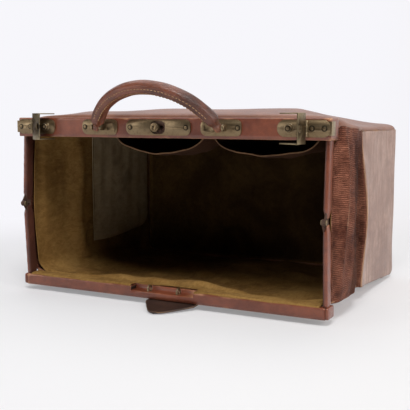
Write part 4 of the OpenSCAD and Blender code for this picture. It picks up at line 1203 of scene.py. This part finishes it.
HANDLE_LEAN = math.radians(33)
HANDLE_X = 88.0
HANDLE_H = 58.0
HANDLE_END_R = 4.6
PIVOT_Y, PIVOT_Z = ((BAR_LO + BAR_HI) / 2)[1:]
ARC_R = (HANDLE_X ** 2 + HANDLE_H ** 2) / (2 * HANDLE_H)


def handle_turn(x, y, z):
    """From the handle's upright drawing to its place, leaning forward about its bars."""
    c, s = math.cos(HANDLE_LEAN), math.sin(HANDLE_LEAN)
    return np.stack([x, c * y - s * z + PIVOT_Y, s * y + c * z + PIVOT_Z], -1)


def handle_section(t, a):
    """Radial and sideways size of the grip at the share t of its length and the angle a round it: a round
    roll outside and a narrower stitched lip inside, drawn in to a plain tongue at both ends."""
    body = ease((np.minimum(t, 1 - t) - 0.036) / 0.04)
    c, s = np.cos(a), np.sin(a)
    lip = ease((-c - 0.25) / 0.45)
    radial = np.where(c > 0, 8.0 * np.abs(c) ** 0.9, -9.6 * np.abs(c) ** 0.8)
    sideways = signed(s, 0.75) * (8.8 * (1 - lip) + 4.6 * lip)
    thin = np.where(c > 0, 3.6, -4.4) * np.abs(c) ** 0.6
    return thin * (1 - body) + radial * body, 5.4 * signed(s, 0.6) * (1 - body) + sideways * body


def handle_skin(t, a):
    """Point of the grip: an arc through both bars with its section square to it, its ends rounded past the
    bars."""
    foot = math.atan2(ARC_R - HANDLE_H, HANDLE_X) - HANDLE_END_R / ARC_R
    turn = math.pi - 2 * foot
    angle = math.pi - foot - t * turn
    radial, sideways = handle_section(t, a)
    end = np.minimum(t, 1 - t) * ARC_R * turn
    cap = np.sqrt(np.clip(1 - np.clip(1 - end / HANDLE_END_R, 0, 1) ** 2, 0.0, 1))
    radius = ARC_R + radial * (0.35 + 0.65 * cap) + 0.25 * ripple(t * 26, a * 2, 5)
    z = radius * np.sin(angle) + HANDLE_H - ARC_R
    return handle_turn(radius * np.cos(angle), sideways * cap ** 0.4, z)


def handle():
    """Handle: the grip's leather, a row of stitches along its front and one on each side of its lip."""
    rings = 0.0004 + 0.9992 * (0.5 - 0.5 * np.cos(np.linspace(0, np.pi, 110)))
    t, a = np.meshgrid(np.concatenate([[0], rings, [1]]), around(40), indexing="ij")
    marks = 0.45 * ease((0.06 - np.minimum(t, 1 - t)) / 0.05) + 0.4 * bell((np.abs(a - np.pi) - 1.12) / 0.12)
    marks = marks - 0.5 * bell((t - 0.78) / 0.05) * (marks < 0.2)
    obj = add_piece("handle_leather", handle_skin(t, a), grid_quads(*t.shape, ring=True), hide_strap, marks)
    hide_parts("handle_grip")
    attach(obj, "handle")
    run = np.linspace(0.1, 0.9, 120)
    lip, front = 1.22, 4.95
    for word, angle, from_angle, radius in (("front", front, front - np.pi, 0.6),
                                            ("left", np.pi - lip, np.pi + lip, 0.8),
                                            ("right", np.pi + lip, np.pi - lip, 0.8)):
        path = handle_skin(run, angle)
        out = path - handle_skin(run, from_angle)
        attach(stitches("handle_stitches_" + word, path, out, thread, pitch=4.6, radius=radius), "handle")


# Metal

def metalwork():
    """Brass and steel: the CAD shapes with their edges rounded, and plain finishes on what lies inside."""
    for node, width in (("lock_plate", 0.45), ("handle_plates", 0.4), ("claw_plate_left", 0.4),
                        ("claw_plate_right", 0.4), ("lock_button", 0.5), ("plate_rivets", 0.6),
                        ("claw_studs", 0.7), ("knee_pin_left", 0.45), ("knee_pin_right", 0.45),
                        ("upper_corner_pins", 0.3), ("handle_bars", 0.3), ("staples", 0.5)):
        softened(node, width, brass)
    for word in ("left", "right"):
        softened("claw_" + word, 0.35, dull_brass)
        for which in ("lower_arm_", "upper_arm_"):
            softened(which + word, 0.4, iron)
    for node, width in (("lower_corner_pins", 0.3), ("lock_bolt", 0.2), ("lower_jaw_channel", 0.3),
                        ("staple_plate", 0.2), ("upper_jaw_channel", 0.3)):
        softened(node, width, iron)
    for nodes, material in ((("lock_case", "lock_spring", "claw_pins"), iron_cad),
                            (("base_board", "handle_core"), fibre)):
        for node in nodes:
            finishes = frame["nodes"][node].data.materials
            finishes.clear()
            finishes.append(material)


# Studio

CAMERA_AT = (0.495, -0.9777, 0.244)
CAMERA_TURN = (math.radians(83.4), 0, math.radians(27.2))
LENS, FILM = 67.43, 36.0

# Each lamp's name, place, height of the point it faces, size and power

LAMPS = (("key_lamp", (0.7, -1.35, 2.3), 0.1, 1.0, 44),
         ("front_lamp", (-1.7, -1.6, 0.8), 0.15, 1.0, 11),
         ("side_lamp", (2.3, -0.4, 1.3), 0.1, 1.4, 32),
         ("top_lamp", (-0.4, 0.7, 2.3), 0.1, 1.8, 20))


def studio():
    """Pale floor and backdrop in one sweep, soft lamps, a pale sky, and the camera."""
    floor_end, bend = 1.6, 0.9
    turn = whole(0, math.pi / 2, 0.13)
    floor = np.stack([np.linspace(-2.5, floor_end, 24), np.zeros(24)], -1)
    curve = np.stack([floor_end + bend * np.sin(turn), bend - bend * np.cos(turn)], -1)
    wall = np.stack([np.full(6, floor_end + bend), np.linspace(1.1, 4.0, 6)], -1)
    grid = carried(np.concatenate([floor, curve, wall]), np.array([-5.0, 5.0]))
    mesh = bpy.data.meshes.new("studio_sweep")
    mesh.from_pydata(grid.reshape(-1, 3).tolist(), [], grid_quads(*grid.shape[:2])[:, ::-1].tolist())
    mesh.shade_smooth()
    new_object("studio_sweep", mesh, sweep_finish())
    for row in LAMPS:
        lamp(*row)
    data = bpy.data.cameras.new("camera")
    data.lens, data.sensor_width = LENS, FILM
    camera = bpy.data.objects.new("camera", data)
    camera.location = CAMERA_AT
    camera.rotation_euler = CAMERA_TURN
    scene = bpy.context.scene
    scene.collection.objects.link(camera)
    scene.camera = camera
    scene.world = sky()
    scene.view_settings.view_transform = "Standard"


def sky():
    """Pale sky, dim on the side that the mouth faces: its strength follows the direction's share along a
    slanted line from the front right to the back left. The camera sees it nearly white."""
    world = bpy.data.worlds.new("studio_sky")
    world.use_nodes = True
    n = Nodes(world.node_tree)
    slant = n.vectors("DOT_PRODUCT", n.coordinates("Generated"), (-0.55, 0.75, 0.36), output="Value")
    seen = n.times(n.add("ShaderNodeLightPath").outputs["Is Camera Ray"], 0.9)
    background = world.node_tree.nodes["Background"].inputs
    n.put(background["Color"], (1.0, 1.0, 1.0, 1.0))
    n.put(background["Strength"], n.maths("MAXIMUM", n.span(slant, -0.62, 0.1, 0.0025, 0.0375), seen))
    return world


def sweep_finish():
    """Pale paper that takes the bag's shadow near it. Farther off it is plain, brighter and a little bluer
    on the left and darker on the right, a painted falloff of the light."""
    material = bpy.data.materials.new("Studio paper")
    material.use_nodes = True
    n = Nodes(material.node_tree)
    bsdf = material.node_tree.nodes["Principled BSDF"]
    at = n.coordinates("Object")
    paper = n.blend(n.noise(at, 1.2, 2.0), (0.82, 0.82, 0.83, 1), (0.86, 0.855, 0.86, 1))
    n.put(bsdf.inputs["Base Color"], paper)
    n.put(bsdf.inputs["Roughness"], 0.9)
    # Painted light falloff: the plain colour goes from bright on the left to darker on the right.
    from_right = n.span(n.apart(at)["X"], -0.5, 0.7)
    plain = n.add("ShaderNodeEmission",
                  Color=n.blend(from_right, (0.93, 0.925, 0.965, 1), (0.84, 0.81, 0.80, 1)))
    rays = n.add("ShaderNodeLightPath").outputs
    seen = n.maths("MAXIMUM", rays["Is Camera Ray"], rays["Is Glossy Ray"])
    seen = n.maths("MAXIMUM", seen, rays["Is Transmission Ray"])
    far = n.span(n.vectors("LENGTH", at, output="Value"), 0.3, 0.9, 0.3, 1.0)
    mix = n.chain("ShaderNodeMixShader", {}, (n.times(far, seen), bsdf.outputs[0], plain.outputs[0]))
    n.put(material.node_tree.nodes["Material Output"].inputs["Surface"], mix)
    return material


def lamp(name, where, target_z, size, power):
    """Square soft lamp that faces a point over the frame's origin."""
    data = bpy.data.lights.new(name, "AREA")
    data.size, data.energy = size, power
    obj = bpy.data.objects.new(name, data)
    obj.location = where
    x, y, z = where
    obj.rotation_euler = (math.pi / 2 + math.atan2(target_z - z, math.hypot(x, y)), 0, math.atan2(x, -y))
    bpy.context.scene.collection.objects.link(obj)


studio()
upper_leather()
for way, word in ((-1, "left"), (1, "right")):
    gusset_leather(way, word)
    jaw_end(way, word)
    end_leather(way, word)
    seam_cords(way, word)
    side_facing(way, word)
    arm_leather("lower", way, word)
    arm_leather("upper", way, word)
base_leather()
lower_leather()
lining_trough()
lining_roof()
lining_rear()
pocket("left")
pocket("right")
upper_jaw_leather()
lower_jaw_leather()
notch_leather()
jaw_apron()
pull_tab()
handle()
metalwork()
